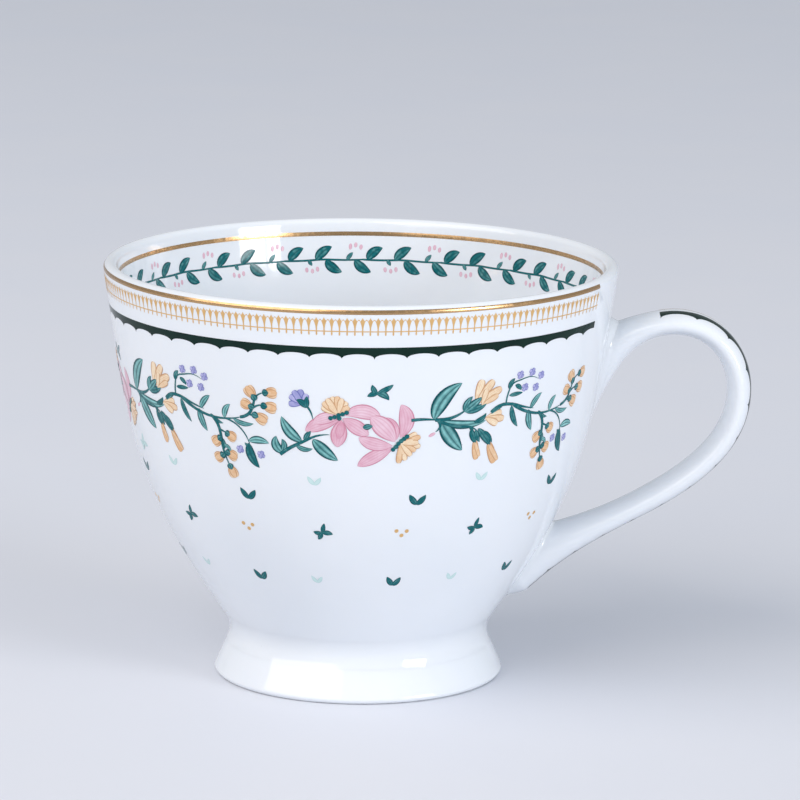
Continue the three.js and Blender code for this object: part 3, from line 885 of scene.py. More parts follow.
@dataclass
class Handle:
    """An ear-shaped strap of elliptical section, luted to the wall at both ends."""

    wall: Wall
    reach: float = 22.65
    thickness: float = 4.5
    width: float = 9.6
    upper_drop: float = 16.3
    waist_drop: float = 23.6
    lower_rise: float = 13.6
    upper: Root = Root(39.0, 1.9, 0.9, 12.0, 2.6, 2.2)
    lower: Root = Root(27.2, 2.4, 1.2, 20.0, 2.0, 1.2)
    tail_start: float = 4.0
    tail_round: float = 7.0
    root_depth: float = 10.0
    bury: float = 1.0  # how far each line of the strap runs on under the wall's glaze
    crown_pull: tuple[float, float] = (0.76, 0.473)
    lower_pull: tuple[float, float] = (0.507, 0.583)
    stations: int = 300
    sides: int = 96
    search: tuple[float, float] = (14.0, 0.6)  # out from the root, to its buried end
    fillet_lift: float = 0.004
    fillet_sink: float = 0.5
    fillet_tuck: float = 0.8  # share of a fillet's reach that its hidden corners have
    film_rows: int = 9
    film_base: float = 0.014
    film_crown: float = 0.01

    def __post_init__(self) -> None:
        """Lays the centre line: straight in the wall, over the crown, down the arm, into the wall."""
        wall = self.wall
        top = wall.height - self.upper_drop
        bottom = wall.neck_height + self.lower_rise
        entry = np.array([wall.radius_at(top), top])
        leave = np.array([wall.radius_at(bottom), bottom])
        waist = np.array([wall.rim_radius + self.reach, wall.height - self.waist_drop])
        out, back, up = bearing(self.upper.angle), bearing(self.lower.angle), bearing(90)
        fall = waist[1] - leave[1]
        crown = cubic([entry, entry + self.crown_pull[0] * self.reach * out,
                       waist + self.crown_pull[1] * self.reach * up, waist], 600)
        arm = cubic([waist, waist - self.lower_pull[0] * fall * up,
                     leave + self.lower_pull[1] * fall * back, leave], 600)
        depth = np.linspace(0, self.root_depth, 40)[1:, None]
        self.line = Measured(np.concatenate([entry - depth[::-1] * out, crown, arm[1:],
                                             leave - depth * back]))

    def section(self, along: Array) -> tuple[Array, Array]:
        """Half thickness and half width: the strap's, plus each root's flare as a square.

        Args:
            along: lengths along the centre line.

        Returns:
            The two halves at each length.
        """
        from_upper = along - self.root_depth
        from_lower = self.line.length - self.root_depth - along
        past = np.clip((-self.tail_start - from_lower) / self.tail_round, 0, 1)
        upper = np.clip(1 - from_upper / self.upper.length, 0, None) ** 2
        lower = np.clip(1 - np.maximum(from_lower, -self.tail_start) / self.lower.length, 0, None) ** 2
        half = self.thickness / 2 + self.upper.spread * upper + self.lower.spread * lower
        breadth = self.width / 2 + self.upper.widen * upper + self.lower.widen * lower
        closing = np.sqrt(1 - past**2)
        return half * closing, breadth * closing

    def skin(self, along: Array, turn: Array, out: Array | float = 0.0) -> Array:
        """Points of the strap's surface.

        Args:
            along: length along the centre line.
            turn: angle round the section from its outer face, towards +Y.
            out: distance off the glaze.

        Returns:
            The points in the row frame.
        """
        centre, way = self.line.at(along), self.line.way(along)
        half, breadth = self.section(along)
        rise = (half + out) * np.cos(turn)
        return np.stack([self.wall.axis_x + centre[..., 0] - rise * way[..., 1],
                         self.wall.axis_y + (breadth + out) * np.sin(turn),
                         centre[..., 1] + rise * way[..., 0]], -1)

    def off_wall(self, points: Array) -> Array:
        """How far points lie outside the wall's outer face, level with the axis.

        Args:
            points: points in the row frame.

        Returns:
            Distances, below zero inside the wall.
        """
        wall = self.wall
        radius = np.hypot(points[..., 0] - wall.axis_x, points[..., 1] - wall.axis_y)
        return radius - wall.radius_at(points[..., 2])

    def crossing(self, is_upper: bool, turn: Array) -> Array:
        """Length at which each line along the strap meets the wall, found along fine steps.

        Args:
            is_upper: whether the upper root is meant.
            turn: each line's angle round the section.

        Returns:
            A length along the centre line for each of them.
        """
        reach = np.linspace(self.root_depth + self.search[0], self.search[1], 1200)
        along = reach if is_upper else self.line.length - reach
        outside = self.off_wall(self.skin(along[:, None], turn[None, :]))
        first = np.argmax(outside < 0, axis=0)
        columns = np.arange(len(turn))
        before, after = outside[first - 1, columns], outside[first, columns]
        share = before / (before - after)
        return along[first - 1] + share * (along[first] - along[first - 1])

    def fillet(self, is_upper: bool) -> Surface:
        """Slip drawn out round a root: from each line of the strap a hollow curve to the wall.

        The curve is a quadratic Bezier whose middle point is where the line meets the wall.

        Args:
            is_upper: whether the upper root is meant.

        Returns:
            The fillet.
        """
        root = self.upper if is_upper else self.lower
        turn = np.linspace(0, 2 * math.pi, self.sides, endpoint=False)
        meet_along = self.crossing(is_upper, turn)
        outward = 1.0 if is_upper else -1.0
        meet = self.skin(meet_along, turn)
        strap_end = self.skin(meet_along + outward * root.hug, turn, self.fillet_lift)
        away = meet - meet.mean(0)
        axis = np.array([self.wall.axis_x, self.wall.axis_y])
        spoke = meet[:, :2] - axis
        lean = self.wall.radius_at(meet[:, 2] + 0.5) - self.wall.radius_at(meet[:, 2] - 0.5)
        normal = np.concatenate([spoke / np.linalg.norm(spoke, axis=1)[:, None], -lean[:, None]], 1)
        normal /= np.linalg.norm(normal, axis=1)[:, None]
        away -= np.einsum("ij,ij->i", away, normal)[:, None] * normal
        away /= np.linalg.norm(away, axis=1)[:, None]
        wall_end = self.on_wall(meet + root.skirt * away, self.fillet_lift)
        t = np.linspace(0, 1, 16)[:, None, None]
        hollow = (1 - t) ** 2 * strap_end + 2 * t * (1 - t) * meet + t**2 * wall_end
        tuck, sink = self.fillet_tuck, -self.fillet_sink
        under_wall = self.on_wall(meet + tuck * root.skirt * away, sink)
        under_strap = self.skin(meet_along + outward * tuck * root.hug, turn, sink)
        rings = np.concatenate([hollow, under_wall[None], under_strap[None]])
        return Surface.from_rings(rings[None], is_loop=True)

    def on_wall(self, points: Array, out: float) -> Array:
        """Points moved level to the wall's outer face, and a distance off it.

        Args:
            points: points in the row frame.
            out: distance off the glaze.

        Returns:
            The moved points.
        """
        wall = self.wall
        spoke = points[:, :2] - (wall.axis_x, wall.axis_y)
        spoke /= np.linalg.norm(spoke, axis=1)[:, None]
        radius = wall.radius_at(points[:, 2])[:, None] + out
        return np.concatenate([(wall.axis_x, wall.axis_y) + spoke * radius, points[:, 2:]], 1)

    def film(self, low: Array | float, high: Array | float, along: Array) -> Surface:
        """A strip on the outer face between two distances from its middle, closed underneath.

        Args:
            low: the near edge, from the outer face's middle towards +Y.
            high: the far edge.
            along: lengths along the centre line.

        Returns:
            The strip.
        """
        share, is_under = strip_section(self.film_rows)
        lift = np.where(is_under, UNDER_GLAZE, self.film_base + self.film_crown * np.sin(math.pi * share))
        low, high = (np.broadcast_to(edge, along.shape)[:, None] for edge in (low, high))
        _, breadth = self.section(along)
        turn = np.arcsin(np.clip((low + share * (high - low)) / breadth[:, None], -1, 1))
        return Surface.strip(self.skin(along[:, None] + 0 * turn, turn, lift), share)

    def build(self, finishes: Finishes) -> None:
        """Makes the strap and the slip fillets at its two roots.

        Args:
            finishes: the cup's finishes.
        """
        turn = np.linspace(0, 2 * math.pi, self.sides, endpoint=False)
        start = self.crossing(True, turn) - self.bury
        end = self.crossing(False, turn) + self.bury
        along = start + np.linspace(0, 1, self.stations)[:, None] * (end - start)
        strap = Surface.from_rings(self.skin(along, turn[None, :])[None])
        strap.piece("handle_strap", finishes.porcelain, "handle")
        self.fillet(True).piece("handle_upper_fillet", finishes.porcelain, "upper_slip_joint")
        self.fillet(False).piece("handle_lower_fillet", finishes.porcelain, "lower_slip_joint")


@dataclass
class HandleTrim:
    """The scalloped green stripe and the gold line along the strap's outer face."""

    handle: Handle
    start: float = 11.6  # from the upper wall crossing
    end: float = -3.5
    cusp: float = -3.6
    crest: float = -2.5
    far: float = -0.9
    pitch: float = 6.0
    line_near: float = 1.35
    line_far: float = 2.05

    def span(self, count: int) -> Array:
        """Lengths from where the trim is cut square on the crown to the tail.

        Args:
            count: how many lengths to give.

        Returns:
            The lengths.
        """
        handle = self.handle
        return np.linspace(handle.root_depth + self.start,
                           handle.line.length - handle.root_depth - self.end, count)

    def build(self, finishes: Finishes) -> None:
        """Makes the stripe, whose near edge is a row of arcs between cusps, and the line.

        Args:
            finishes: the cup's finishes.
        """
        along = self.span(700)
        near = scallops(along - along[0], self.pitch, self.cusp, self.crest, 0.9)
        self.handle.film(near, self.far, along).piece(
            "handle_scallop_stripe", finishes.dark_green, "handle_green_stripe")
        self.handle.film(self.line_near, self.line_far, self.span(240)).piece(
            "handle_gold_line", finishes.gilt_line, "handle_gilt_line")


# ---- Strokes of enamel --------------------------------------------------------------------


class Outline(Enum):
    """How a stroke swells from its root to its tip: the powers of both distances."""

    LEAF = (0.62, 0.8)
    PETAL = (0.8, 0.33)
    POINTED = (0.9, 0.75)
    CUP = (0.35, 0.3)
    BUD = (0.5, 0.5)
    STEM = (0.04, 0.1)
    TAPER = (0.05, 0.5)


@dataclass(frozen=True)
class Stroke:
    """One drawn mark: its outline, half width, lightness, layer, and the spots it runs through."""

    outline: Outline
    half: float
    tone: float
    spots: tuple[tuple[float, float], ...]
    layer: int = 0


def smooth_line(spots: Array, shares: Array) -> Array:
    """Points at shares along a smooth line through spots: cubic Hermite pieces between them.

    The slope at a spot is the step between its neighbours.

    Args:
        spots: the places that the line runs through.
        shares: shares of its length.

    Returns:
        A point for each share.
    """
    if len(spots) == 2:
        return spots[0] + shares[:, None] * (spots[1] - spots[0])
    steps = np.linalg.norm(np.diff(spots, axis=0), axis=1)
    knots = np.concatenate([[0], np.cumsum(steps)])
    slopes = np.gradient(spots, knots, axis=0, edge_order=2)
    run = shares * knots[-1]
    i = np.clip(np.searchsorted(knots, run, side="right") - 1, 0, len(steps) - 1)
    width = steps[i][:, None]
    t = ((run - knots[i]) / steps[i])[:, None]
    return ((2 * t**3 - 3 * t**2 + 1) * spots[i] + (t**3 - 2 * t**2 + t) * width * slopes[i]
            + (3 * t**2 - 2 * t**3) * spots[i + 1] + (t**3 - t**2) * width * slopes[i + 1])


@dataclass
class Brush:
    """Lays strokes on the wall as thin closed shells, raised a little in the middle."""

    wall: Wall
    side: Side = Side.OUTSIDE
    stations: int = 16
    crown: float = 0.014  # how far a stroke's middle stands over its edge
    base: float = 0.008
    layer_step: float = 0.016

    def paint(self, strokes: list[Stroke], copies: list[float]) -> Surface:
        """Draws strokes and copies of them round the wall.

        Each station of a stroke is a ring of eight points: its two edges, three above and
        three under the glaze. Half widths follow the outline between the root and the tip.

        Args:
            strokes: the marks.
            copies: how far round each copy is moved.

        Returns:
            One shell for each copy of each stroke.
        """
        # stations crowd towards both ends, and stop just short of them, where the width is nothing
        shares = (1 - np.cos(np.linspace(0.03, 1, self.stations) * math.pi * 0.985)) / 2
        turn = np.linspace(0, 2 * math.pi, 8, endpoint=False)
        lines = np.stack([smooth_line(np.array(stroke.spots), shares) for stroke in strokes])
        ways = np.gradient(lines, axis=1)
        ways /= np.linalg.norm(ways, axis=-1, keepdims=True)
        powers = np.array([stroke.outline.value for stroke in strokes])
        fine = np.linspace(0.005, 0.995, 200)
        peak = (fine ** powers[:, :1] * (1 - fine) ** powers[:, 1:]).max(1, keepdims=True)
        swell = shares ** powers[:, :1] * (1 - shares) ** powers[:, 1:] / peak
        half = swell * np.array([stroke.half for stroke in strokes])[:, None]
        across = np.stack([-ways[..., 1], ways[..., 0]], -1)
        spread = half[..., None] * np.cos(turn)
        flat = lines[:, :, None] + spread[..., None] * across[:, :, None]
        layer = np.array([stroke.layer for stroke in strokes])[:, None, None]
        above = self.base + self.layer_step * layer + self.crown * np.sin(turn)
        out = np.where(np.sin(turn) < -0.1, UNDER_GLAZE, above) + np.zeros(flat.shape[:3])
        still = 0 * flat[..., 0]
        uv = np.stack([(np.cos(turn) + 1) / 2 + still, shares[:, None] + still], -1)
        tones = np.array([stroke.tone for stroke in strokes])
        around, drop = flat[..., 0], flat[..., 1] + ARTWORK_TOP
        rings = [self.wall.place(self.side, around + copy, drop, out) for copy in copies]
        return Surface.from_rings(np.concatenate(rings), np.concatenate([uv] * len(copies)),
                                  np.tile(tones, len(copies)))

    def band(self, around: Array, top: Array | float, bottom: Array | float, is_loop: bool = False,
             rows: int = 5) -> Surface:
        """A strip of film between two edges that may rise and fall along the wall.

        Args:
            around: places along the chart's circle.
            top: drop of the upper edge.
            bottom: drop of the lower edge.
            is_loop: whether the strip goes right round.
            rows: points across each face.

        Returns:
            The strip.
        """
        share, is_under = strip_section(rows)
        out = np.where(is_under, UNDER_GLAZE, self.base + self.crown * np.sin(math.pi * share))
        top, bottom = (np.broadcast_to(edge, around.shape)[:, None] for edge in (top, bottom))
        drop = top + share * (bottom - top)
        rings = self.wall.place(self.side, around[:, None] + 0 * drop, drop, out + 0 * drop)
        return Surface.strip(rings, share, is_loop)

    def hairs(self, around: Array, drop: Array, half: tuple[Array | float, Array | float],
              crown: float) -> Surface:
        """Fine strokes of four-cornered section: two edges, a crest, and a line under the glaze.

        Args:
            around: chart places, shaped (strokes, stations).
            drop: their drops, shaped like them.
            half: half widths, around and down the wall.
            crown: how far the crest stands over the edges.

        Returns:
            One shell for each stroke.
        """
        turn = np.array([0, 0.5, 1, 1.5]) * math.pi
        widths = [np.broadcast_to(width, around.shape)[..., None] * np.cos(turn) for width in half]
        out = np.where(np.sin(turn) < -0.1, UNDER_GLAZE, self.base + crown * np.sin(turn)) + 0 * widths[0]
        rings = self.wall.place(self.side, around[..., None] + widths[0], drop[..., None] + widths[1], out)
        return Surface.from_rings(rings, np.full(rings.shape[:3] + (2,), 0.5))


# ---- Borders ------------------------------------------------------------------------------


@dataclass
class RimBorders:
    """The borders round the outside: gold lip line, gilt picket frieze, scalloped green band."""

    wall: Wall
    line: tuple[float, float] = (0.6, 1.4)
    picket_pitch: float = 1.254
    picket_top: float = 2.0
    picket_foot: float = 5.25
    rail: float = 4.5
    rail_half: float = 0.1
    lancet: float = 2.0  # height of the arches between the pickets
    lancet_gap: float = 0.35  # from the pickets' tips down to the arches' tops
    lancet_half: float = 0.09
    band_top: float = 7.45
    crest: float = 8.65
    cusp: float = 9.65
    scallop: float = 5.4

    def middles(self, shift: float, fewer: int = 0) -> Array:
        """Places of the pickets, or of the gaps between them, as a column.

        Args:
            shift: pitches from the row's end to its first place.
            fewer: places to leave out.

        Returns:
            Places along the chart's circle.
        """
        count = int((DECOR_TO - DECOR_FROM) / self.picket_pitch) - fewer
        return (DECOR_TO - self.picket_pitch * (np.arange(count) + shift))[:, None]

    def pickets(self, brush: Brush) -> Surface:
        """One shell per picket: a spear-headed bud that tapers to a post with a small foot.

        Args:
            brush: the brush that lays them.

        Returns:
            The pickets.
        """
        share = np.array([0, 0.06, 0.13, 0.2, 0.28, 0.38, 0.5, 0.64, 0.8, 0.9, 1.0])
        half = np.array([0.03, 0.1, 0.27, 0.37, 0.33, 0.24, 0.15, 0.1, 0.1, 0.15, 0.08])
        around = self.middles(0.4) + 0 * share
        drop = self.picket_top + share * (self.picket_foot - self.picket_top) + 0 * around
        return brush.hairs(around, drop, (half, 0.0), 0.02)

    def arches(self, brush: Brush) -> Surface:
        """Lancets between the posts: from each gap's top the two legs curve down to the posts.

        Args:
            brush: the brush that lays them.

        Returns:
            The arches.
        """
        reach = np.linspace(-0.5, 0.5, 13) * self.picket_pitch
        around = self.middles(0.9, 1) + reach
        sag = self.lancet * np.abs(2 * reach / self.picket_pitch) ** 2
        drop = self.picket_top + self.lancet_gap + sag + 0 * around
        return brush.hairs(around, drop, (0.0, self.lancet_half), 0.01)

    def build(self, finishes: Finishes) -> None:
        """Makes the three borders.

        Args:
            finishes: the cup's finishes.
        """
        brush = Brush(self.wall)
        around = np.linspace(DECOR_FROM, DECOR_TO, 900)
        brush.band(around, *self.line).piece("rim_gold_line", finishes.gilt_line, "rim_gilt_line")
        rail = brush.band(around, self.rail - self.rail_half, self.rail + self.rail_half, rows=3)
        Surface.joined([self.pickets(brush), self.arches(brush), rail]).piece(
            "picket_frieze", finishes.gilt_print, "gilt_picket_frieze")
        around = np.linspace(DECOR_FROM, DECOR_TO, 1400)
        bottom = scallops(around - self.scallop / 2, self.scallop, self.cusp, self.crest, 0.8)
        brush.band(around, self.band_top, bottom, rows=7).piece(
            "scallop_band", finishes.dark_green, "green_scallop_band")


@dataclass
class InnerBorders:
    """Inside the lip: a gold line, and a laurel border with pink strokes between its leaves."""

    wall: Wall
    line: tuple[float, float] = (2.4, 3.2)
    repeats: int = 18

    def leaves(self) -> list[Stroke]:
        """One repeat of the laurel: its stem, two leaves up, two down and two spurs.

        Returns:
            The strokes.
        """
        leaf, stem = Outline.LEAF, Outline.STEM
        period = 2 * math.pi * CHART_RADIUS / self.repeats
        return [
            Stroke(stem, 0.2, 0.0, ((-0.2, 6.9), (period * 0.25, 7.0), (period * 0.5, 6.85),
                                    (period * 0.75, 7.0), (period + 0.2, 6.9))),
            Stroke(leaf, 0.95, 0.05, ((0.8, 6.9), (1.9, 5.5), (3.7, 4.6)), 1),
            Stroke(leaf, 0.95, 0.05, ((6.1, 6.9), (7.4, 5.4), (9.2, 4.4)), 1),
            Stroke(leaf, 0.95, 0.1, ((8.0, 7.0), (9.2, 8.4), (11.1, 9.3)), 1),
            Stroke(leaf, 0.95, 0.1, ((13.6, 7.0), (14.8, 8.4), (16.7, 9.3)), 1),
            Stroke(leaf, 0.38, 0.3, ((4.6, 6.9), (5.3, 8.0)), 1),
            Stroke(leaf, 0.42, 0.3, ((12.0, 6.9), (13.2, 5.5)), 1),
        ]

    def petals(self) -> list[Stroke]:
        """The loose pink strokes of one repeat.

        Returns:
            The strokes.
        """
        bud = Outline.BUD
        spots = ((4.2, 8.3, 9.3), (5.3, 8.6, 9.5), (6.3, 8.2, 9.2),
                 (12.7, 5.0, 3.8), (13.7, 4.6, 3.6), (14.7, 5.0, 4.0))
        return [Stroke(bud, 0.3, 0.7, ((u, low), (u + 0.1, high))) for u, low, high in spots]

    def build(self, finishes: Finishes) -> None:
        """Makes the line and the border.

        Args:
            finishes: the cup's finishes.
        """
        brush = Brush(self.wall, Side.INSIDE)
        round_way = 2 * math.pi * CHART_RADIUS
        around = np.linspace(0, round_way, 900, endpoint=False)
        brush.band(around, *self.line, is_loop=True).piece(
            "inner_gold_line", finishes.gilt_line, "inner_gilt_line")
        copies = [round_way * i / self.repeats for i in range(self.repeats)]
        brush.paint(self.leaves(), copies).piece("inner_laurel", finishes.leaf, "inner_leaf_border")
        brush.paint(self.petals(), copies).piece("inner_laurel_petals", finishes.pink)


# ---- The garland --------------------------------------------------------------------------


@dataclass
class Drawing:
    """The marks of one motif, by the enamel that they are drawn in."""

    leaves: list[Stroke] = field(default_factory=list)
    pinks: list[Stroke] = field(default_factory=list)
    buds: list[Stroke] = field(default_factory=list)
    florets: list[Stroke] = field(default_factory=list)

    def leaf(self, half: float, tone: float, *spots: tuple[float, float], layer: int = 1) -> None:
        """Draws a pointed leaf."""
        self.leaves.append(Stroke(Outline.LEAF, half, tone, spots, layer))

    def stem(self, half: float, *spots: tuple[float, float]) -> None:
        """Draws a stem."""
        self.leaves.append(Stroke(Outline.TAPER, half, 0.05, spots, 2))

    def fan(self, into: list[Stroke], outline: Outline, half: float, root: tuple[float, float],
            tips: Spots, tones: tuple[float, ...], layer: int = 1) -> None:
        """Draws strokes from one root to several tips, with their tones taken in turn.

        Args:
            into: the list that takes them.
            outline: their outline.
            half: their half width.
            root: where they start.
            tips: where they end.
            tones: their tones.
            layer: the lowest layer.
        """
        for i, tip in enumerate(tips):
            into.append(Stroke(outline, half, tones[i % len(tones)], (root, tip), layer + i % 3))

    def blossom(self, root: tuple[float, float], tip: tuple[float, float], half: float,
                tone: float) -> None:
        """Draws a round bud of three lapped petals over a small green cup.

        Args:
            root: where it starts.
            tip: where it ends.
            half: its half width.
            tone: tone of its front petal.
        """
        (u0, s0), (u1, s1) = root, tip
        du, ds = u1 - u0, s1 - s0
        for layer, (swing, share, tint) in enumerate(((-0.3, 0.95, 0.25), (0.3, 0.95, 0.4), (0, 1, 0))):
            end = (u0 + share * (du - swing * ds), s0 + share * (ds + swing * du))
            self.buds.append(Stroke(Outline.BUD, half * 0.66, tone + tint, (root, end), 1 + layer))
        cup = (u0 + 0.3 * du, s0 + 0.3 * ds)
        self.leaf(half * 0.62, 0.15, (u0 - 0.25 * du, s0 - 0.25 * ds), cup, layer=4)

    def floret(self, around: float, drop: float) -> None:
        """Draws a small four-petalled violet flower.

        Args:
            around: its place along the chart's circle.
            drop: its drop.
        """
        size = 0.8
        for i in range(4):
            angle = 0.5 + i * math.pi / 2
            tip = (around + size * math.cos(angle), drop + size * math.sin(angle))
            self.florets.append(Stroke(Outline.CUP, size * 0.5, 0.2 + 0.2 * (i % 3),
                                       ((around, drop), tip), 1 + i % 2))


@dataclass
class Garland:
    """The flower garland: leafy sprays with buds, and between them pairs of pink flowers."""

    wall: Wall
    period: float = 63.0
    sprays: int = 4

    @staticmethod
    def spray() -> Drawing:
        """One leaf spray, from its knot to the hanging buds on its far side.

        Returns:
            Its marks.
        """
        marks = Drawing()
        stem, leaf, fan, petal = marks.stem, marks.leaf, marks.fan, Outline.PETAL
        stem(0.3, (9.3, 20.2), (11.5, 20.1), (14.2, 20.4))
        stem(0.36, (13.6, 20.3), (17.0, 20.0), (19.6, 18.5))
        stem(0.3, (14.4, 20.6), (17.6, 21.8), (20.6, 22.2), (22.2, 23.4))
        stem(0.3, (14.1, 20.4), (14.6, 21.5), (13.8, 22.6))
        leaf(1.5, 0.62, (13.4, 20.2), (14.6, 16.8), (18.1, 13.7))
        leaf(1.45, 0.62, (14.8, 20.8), (16.6, 23.6), (19.2, 26.5))
        leaf(0.85, 0.75, (14.6, 20.6), (19.0, 21.6), (23.4, 21.2))
        leaf(0.55, 0.1, (21.0, 21.2), (22.4, 20.9), (23.3, 19.8), layer=3)
        # cup and cream petals of the open tulip
        leaf(0.62, 0.35, (18.9, 19.1), (19.3, 17.6), (20.3, 16.4), layer=4)
        leaf(0.8, 0.45, (19.0, 19.2), (20.6, 17.9), (22.2, 16.7), layer=4)
        leaf(0.7, 0.2, (19.2, 19.2), (21.2, 18.8), (23.2, 18.0), layer=4)
        fan(marks.buds, petal, 0.85, (21.0, 17.8),
                 [(21.9, 13.4), (24.2, 13.7), (26.0, 15.4)], (0.85, 0.7, 0.6))
        fan(marks.buds, petal, 0.6, (22.2, 18.2), [(25.4, 16.6), (23.0, 15.2)], (0.5, 0.8), 4)
        # cream bell beside it
        fan(marks.buds, petal, 0.72, (23.2, 20.7), [(26.6, 19.9), (27.2, 21.2), (25.9, 22.1)],
                 (0.75, 0.6, 0.8))
        # two hanging apricot buds
        stem(0.3, (20.4, 22.2), (20.9, 23.0), (21.4, 24.2))
        leaf(0.62, 0.05, (20.6, 22.6), (21.0, 23.8), (21.8, 25.4), layer=3)
        leaf(0.5, 0.1, (21.6, 22.8), (21.9, 24.0), (22.6, 25.2), layer=3)
        leaf(0.7, 0.05, (22.0, 22.6), (23.4, 24.2), (25.0, 26.2), layer=3)
        leaf(0.5, 0.1, (23.0, 23.2), (24.2, 24.2), (25.2, 25.6), layer=3)
        fan(marks.buds, Outline.CUP, 0.72, (21.6, 24.9), [(22.3, 28.6)], (0.1,))
        fan(marks.buds, Outline.CUP, 0.4, (21.6, 25.1), [(22.9, 28.0)], (0.35,), 3)
        fan(marks.buds, Outline.CUP, 0.85, (24.6, 25.6), [(26.3, 29.7)], (0.05,))
        fan(marks.buds, Outline.CUP, 0.5, (24.6, 25.8), [(27.0, 29.2)], (0.3,), 3)
        # running branch
        stem(0.34, (24.3, 19.8), (26.0, 18.7), (28.6, 18.7), (31.2, 19.5), (34.0, 20.2))
        stem(0.3, (29.0, 18.9), (31.6, 20.3), (35.0, 21.3), (38.6, 21.4), (42.0, 20.7))
        stem(0.3, (41.6, 20.8), (43.6, 19.8), (44.4, 18.2), (45.0, 16.6), (46.8, 15.7))
        leaf(0.6, 0.15, (28.6, 19.0), (29.2, 21.2), (30.6, 23.2))
        leaf(0.75, 0.55, (32.8, 20.3), (33.1, 22.2), (34.2, 24.4))
        leaf(0.62, 0.65, (33.2, 20.2), (34.2, 18.6), (35.6, 17.5))
        leaf(0.6, 0.8, (38.4, 21.3), (38.6, 19.9), (39.8, 18.6))
        leaf(0.4, 0.3, (35.4, 20.9), (36.6, 22.0), (38.0, 22.4))
        leaf(0.5, 0.6, (40.2, 21.2), (42.2, 22.0), (44.2, 21.8))
        leaf(0.5, 0.3, (24.4, 20.1), (25.6, 19.1), (27.0, 18.5))
        # violet floret spray
        stem(0.17, (27.3, 18.5), (27.5, 16.6), (28.2, 14.9), (30.2, 14.3), (32.2, 14.0), (34.2, 14.7))
        leaf(0.42, 0.05, (27.8, 17.0), (30.8, 16.8))
        leaf(0.55, 0.15, (27.7, 15.8), (27.9, 14.8), (28.7, 13.9))
        leaf(0.45, 0.1, (28.9, 15.2), (29.9, 15.7), (30.4, 16.3))
        for spot in ((29.8, 13.4), (32.5, 13.2), (34.8, 14.1), (31.2, 15.9), (33.8, 16.2)):
            marks.floret(*spot)
        # up-branch of round buds
        for root, tip in (((44.7, 16.8), (43.3, 14.8)), ((46.8, 15.7), (49.0, 15.6)),
                          ((44.0, 18.6), (42.0, 17.8)), ((46.4, 18.2), (48.8, 18.6)),
                          ((44.6, 20.1), (46.9, 21.2))):
            marks.blossom(root, tip, 1.1, 0.15)
        stem(0.2, (44.2, 18.9), (45.4, 18.2), (46.6, 18.1))
        stem(0.2, (43.4, 19.9), (44.0, 20.2), (44.8, 20.2))
        # hanging branch of round buds
        stem(0.34, (35.6, 21.2), (36.8, 22.8), (37.2, 25.0), (37.3, 27.4), (38.0, 29.8), (38.4, 31.0))
        stem(0.2, (36.9, 23.6), (38.0, 24.0), (38.8, 24.4))
        leaf(0.4, 0.65, (37.4, 26.6), (38.3, 26.8), (39.0, 27.8))
        leaf(0.5, 0.2, (36.9, 25.2), (37.5, 26.2), (37.6, 27.4))
        for root, tip in (((36.9, 25.4), (35.1, 26.6)), ((38.6, 24.3), (40.4, 25.2)),
                          ((37.0, 28.6), (35.2, 29.6)), ((38.2, 28.0), (40.2, 28.8)),
                          ((38.4, 30.6), (39.2, 32.8))):
            marks.blossom(root, tip, 1.15, 0.2)
        # trailing twig with a dark leaf
        stem(0.17, (38.6, 21.4), (41.2, 22.6), (42.7, 24.6), (43.2, 26.8))
        leaf(0.95, 0.0, (42.9, 25.6), (43.1, 27.8), (44.6, 30.2))
        leaf(0.3, 0.1, (42.8, 26.4), (42.1, 25.6))
        leaf(0.75, 0.8, (43.0, 25.2), (45.0, 24.8), (46.9, 25.3))
        marks.floret(41.0, 27.0)
        marks.floret(45.2, 27.6)
        return marks

    @staticmethod
    def flowers() -> Drawing:
        """One pair of pink flowers with the sprig, the violet bud and the small leaves by it.

        Returns:
            Their marks.
        """
        marks = Drawing()
        stem, leaf, fan, petal = marks.stem, marks.leaf, marks.fan, Outline.PETAL
        for half, tone, layer, spots in (
            (1.35, 0.55, 1, ((-2.9, 19.9), (-5.8, 20.6), (-9.2, 22.4))),
            (1.1, 0.75, 2, ((-2.8, 19.5), (-5.6, 19.8), (-7.8, 20.8))),
            (1.45, 0.45, 4, ((-2.8, 20.0), (-3.2, 22.2), (-3.6, 25.2))),
            (1.4, 0.7, 1, ((-2.4, 19.2), (0.4, 18.4), (4.0, 19.9))),
            (1.35, 0.6, 2, ((-2.6, 19.7), (-0.6, 21.1), (1.9, 22.9))),
            (0.8, 0.25, 5, ((-2.8, 20.2), (-3.0, 21.8), (-3.4, 23.6))),
            (1.4, 0.55, 1, ((7.4, 23.4), (8.5, 20.8), (7.4, 17.2))),
            (1.75, 0.7, 3, ((6.6, 24.2), (5.0, 22.0), (2.2, 19.4))),
            (1.05, 0.4, 2, ((6.9, 23.8), (6.2, 21.6), (4.6, 19.6))),
            (1.25, 0.65, 2, ((6.2, 24.9), (3.4, 24.7), (0.2, 23.3))),
            (1.25, 0.5, 1, ((6.3, 25.3), (3.4, 26.8), (0.0, 28.8))),
        ):
            marks.pinks.append(Stroke(Outline.POINTED, half, tone, spots, layer))
        marks.pinks.append(Stroke(Outline.BUD, 0.3, 0.6, ((12.6, 23.4), (13.8, 22.8)), 0))
        tones = (0.85, 0.35, 0.7)
        fan(marks.buds, petal, 0.62, (-3.4, 19.0),
                 [(-6.2, 17.7), (-6.0, 16.8), (-5.3, 16.1), (-4.4, 15.7), (-3.5, 15.6), (-2.7, 16.0),
                  (-1.9, 16.6), (-1.5, 17.5), (-4.8, 17.3), (-3.4, 17.0), (-2.4, 17.6)], tones, 4)
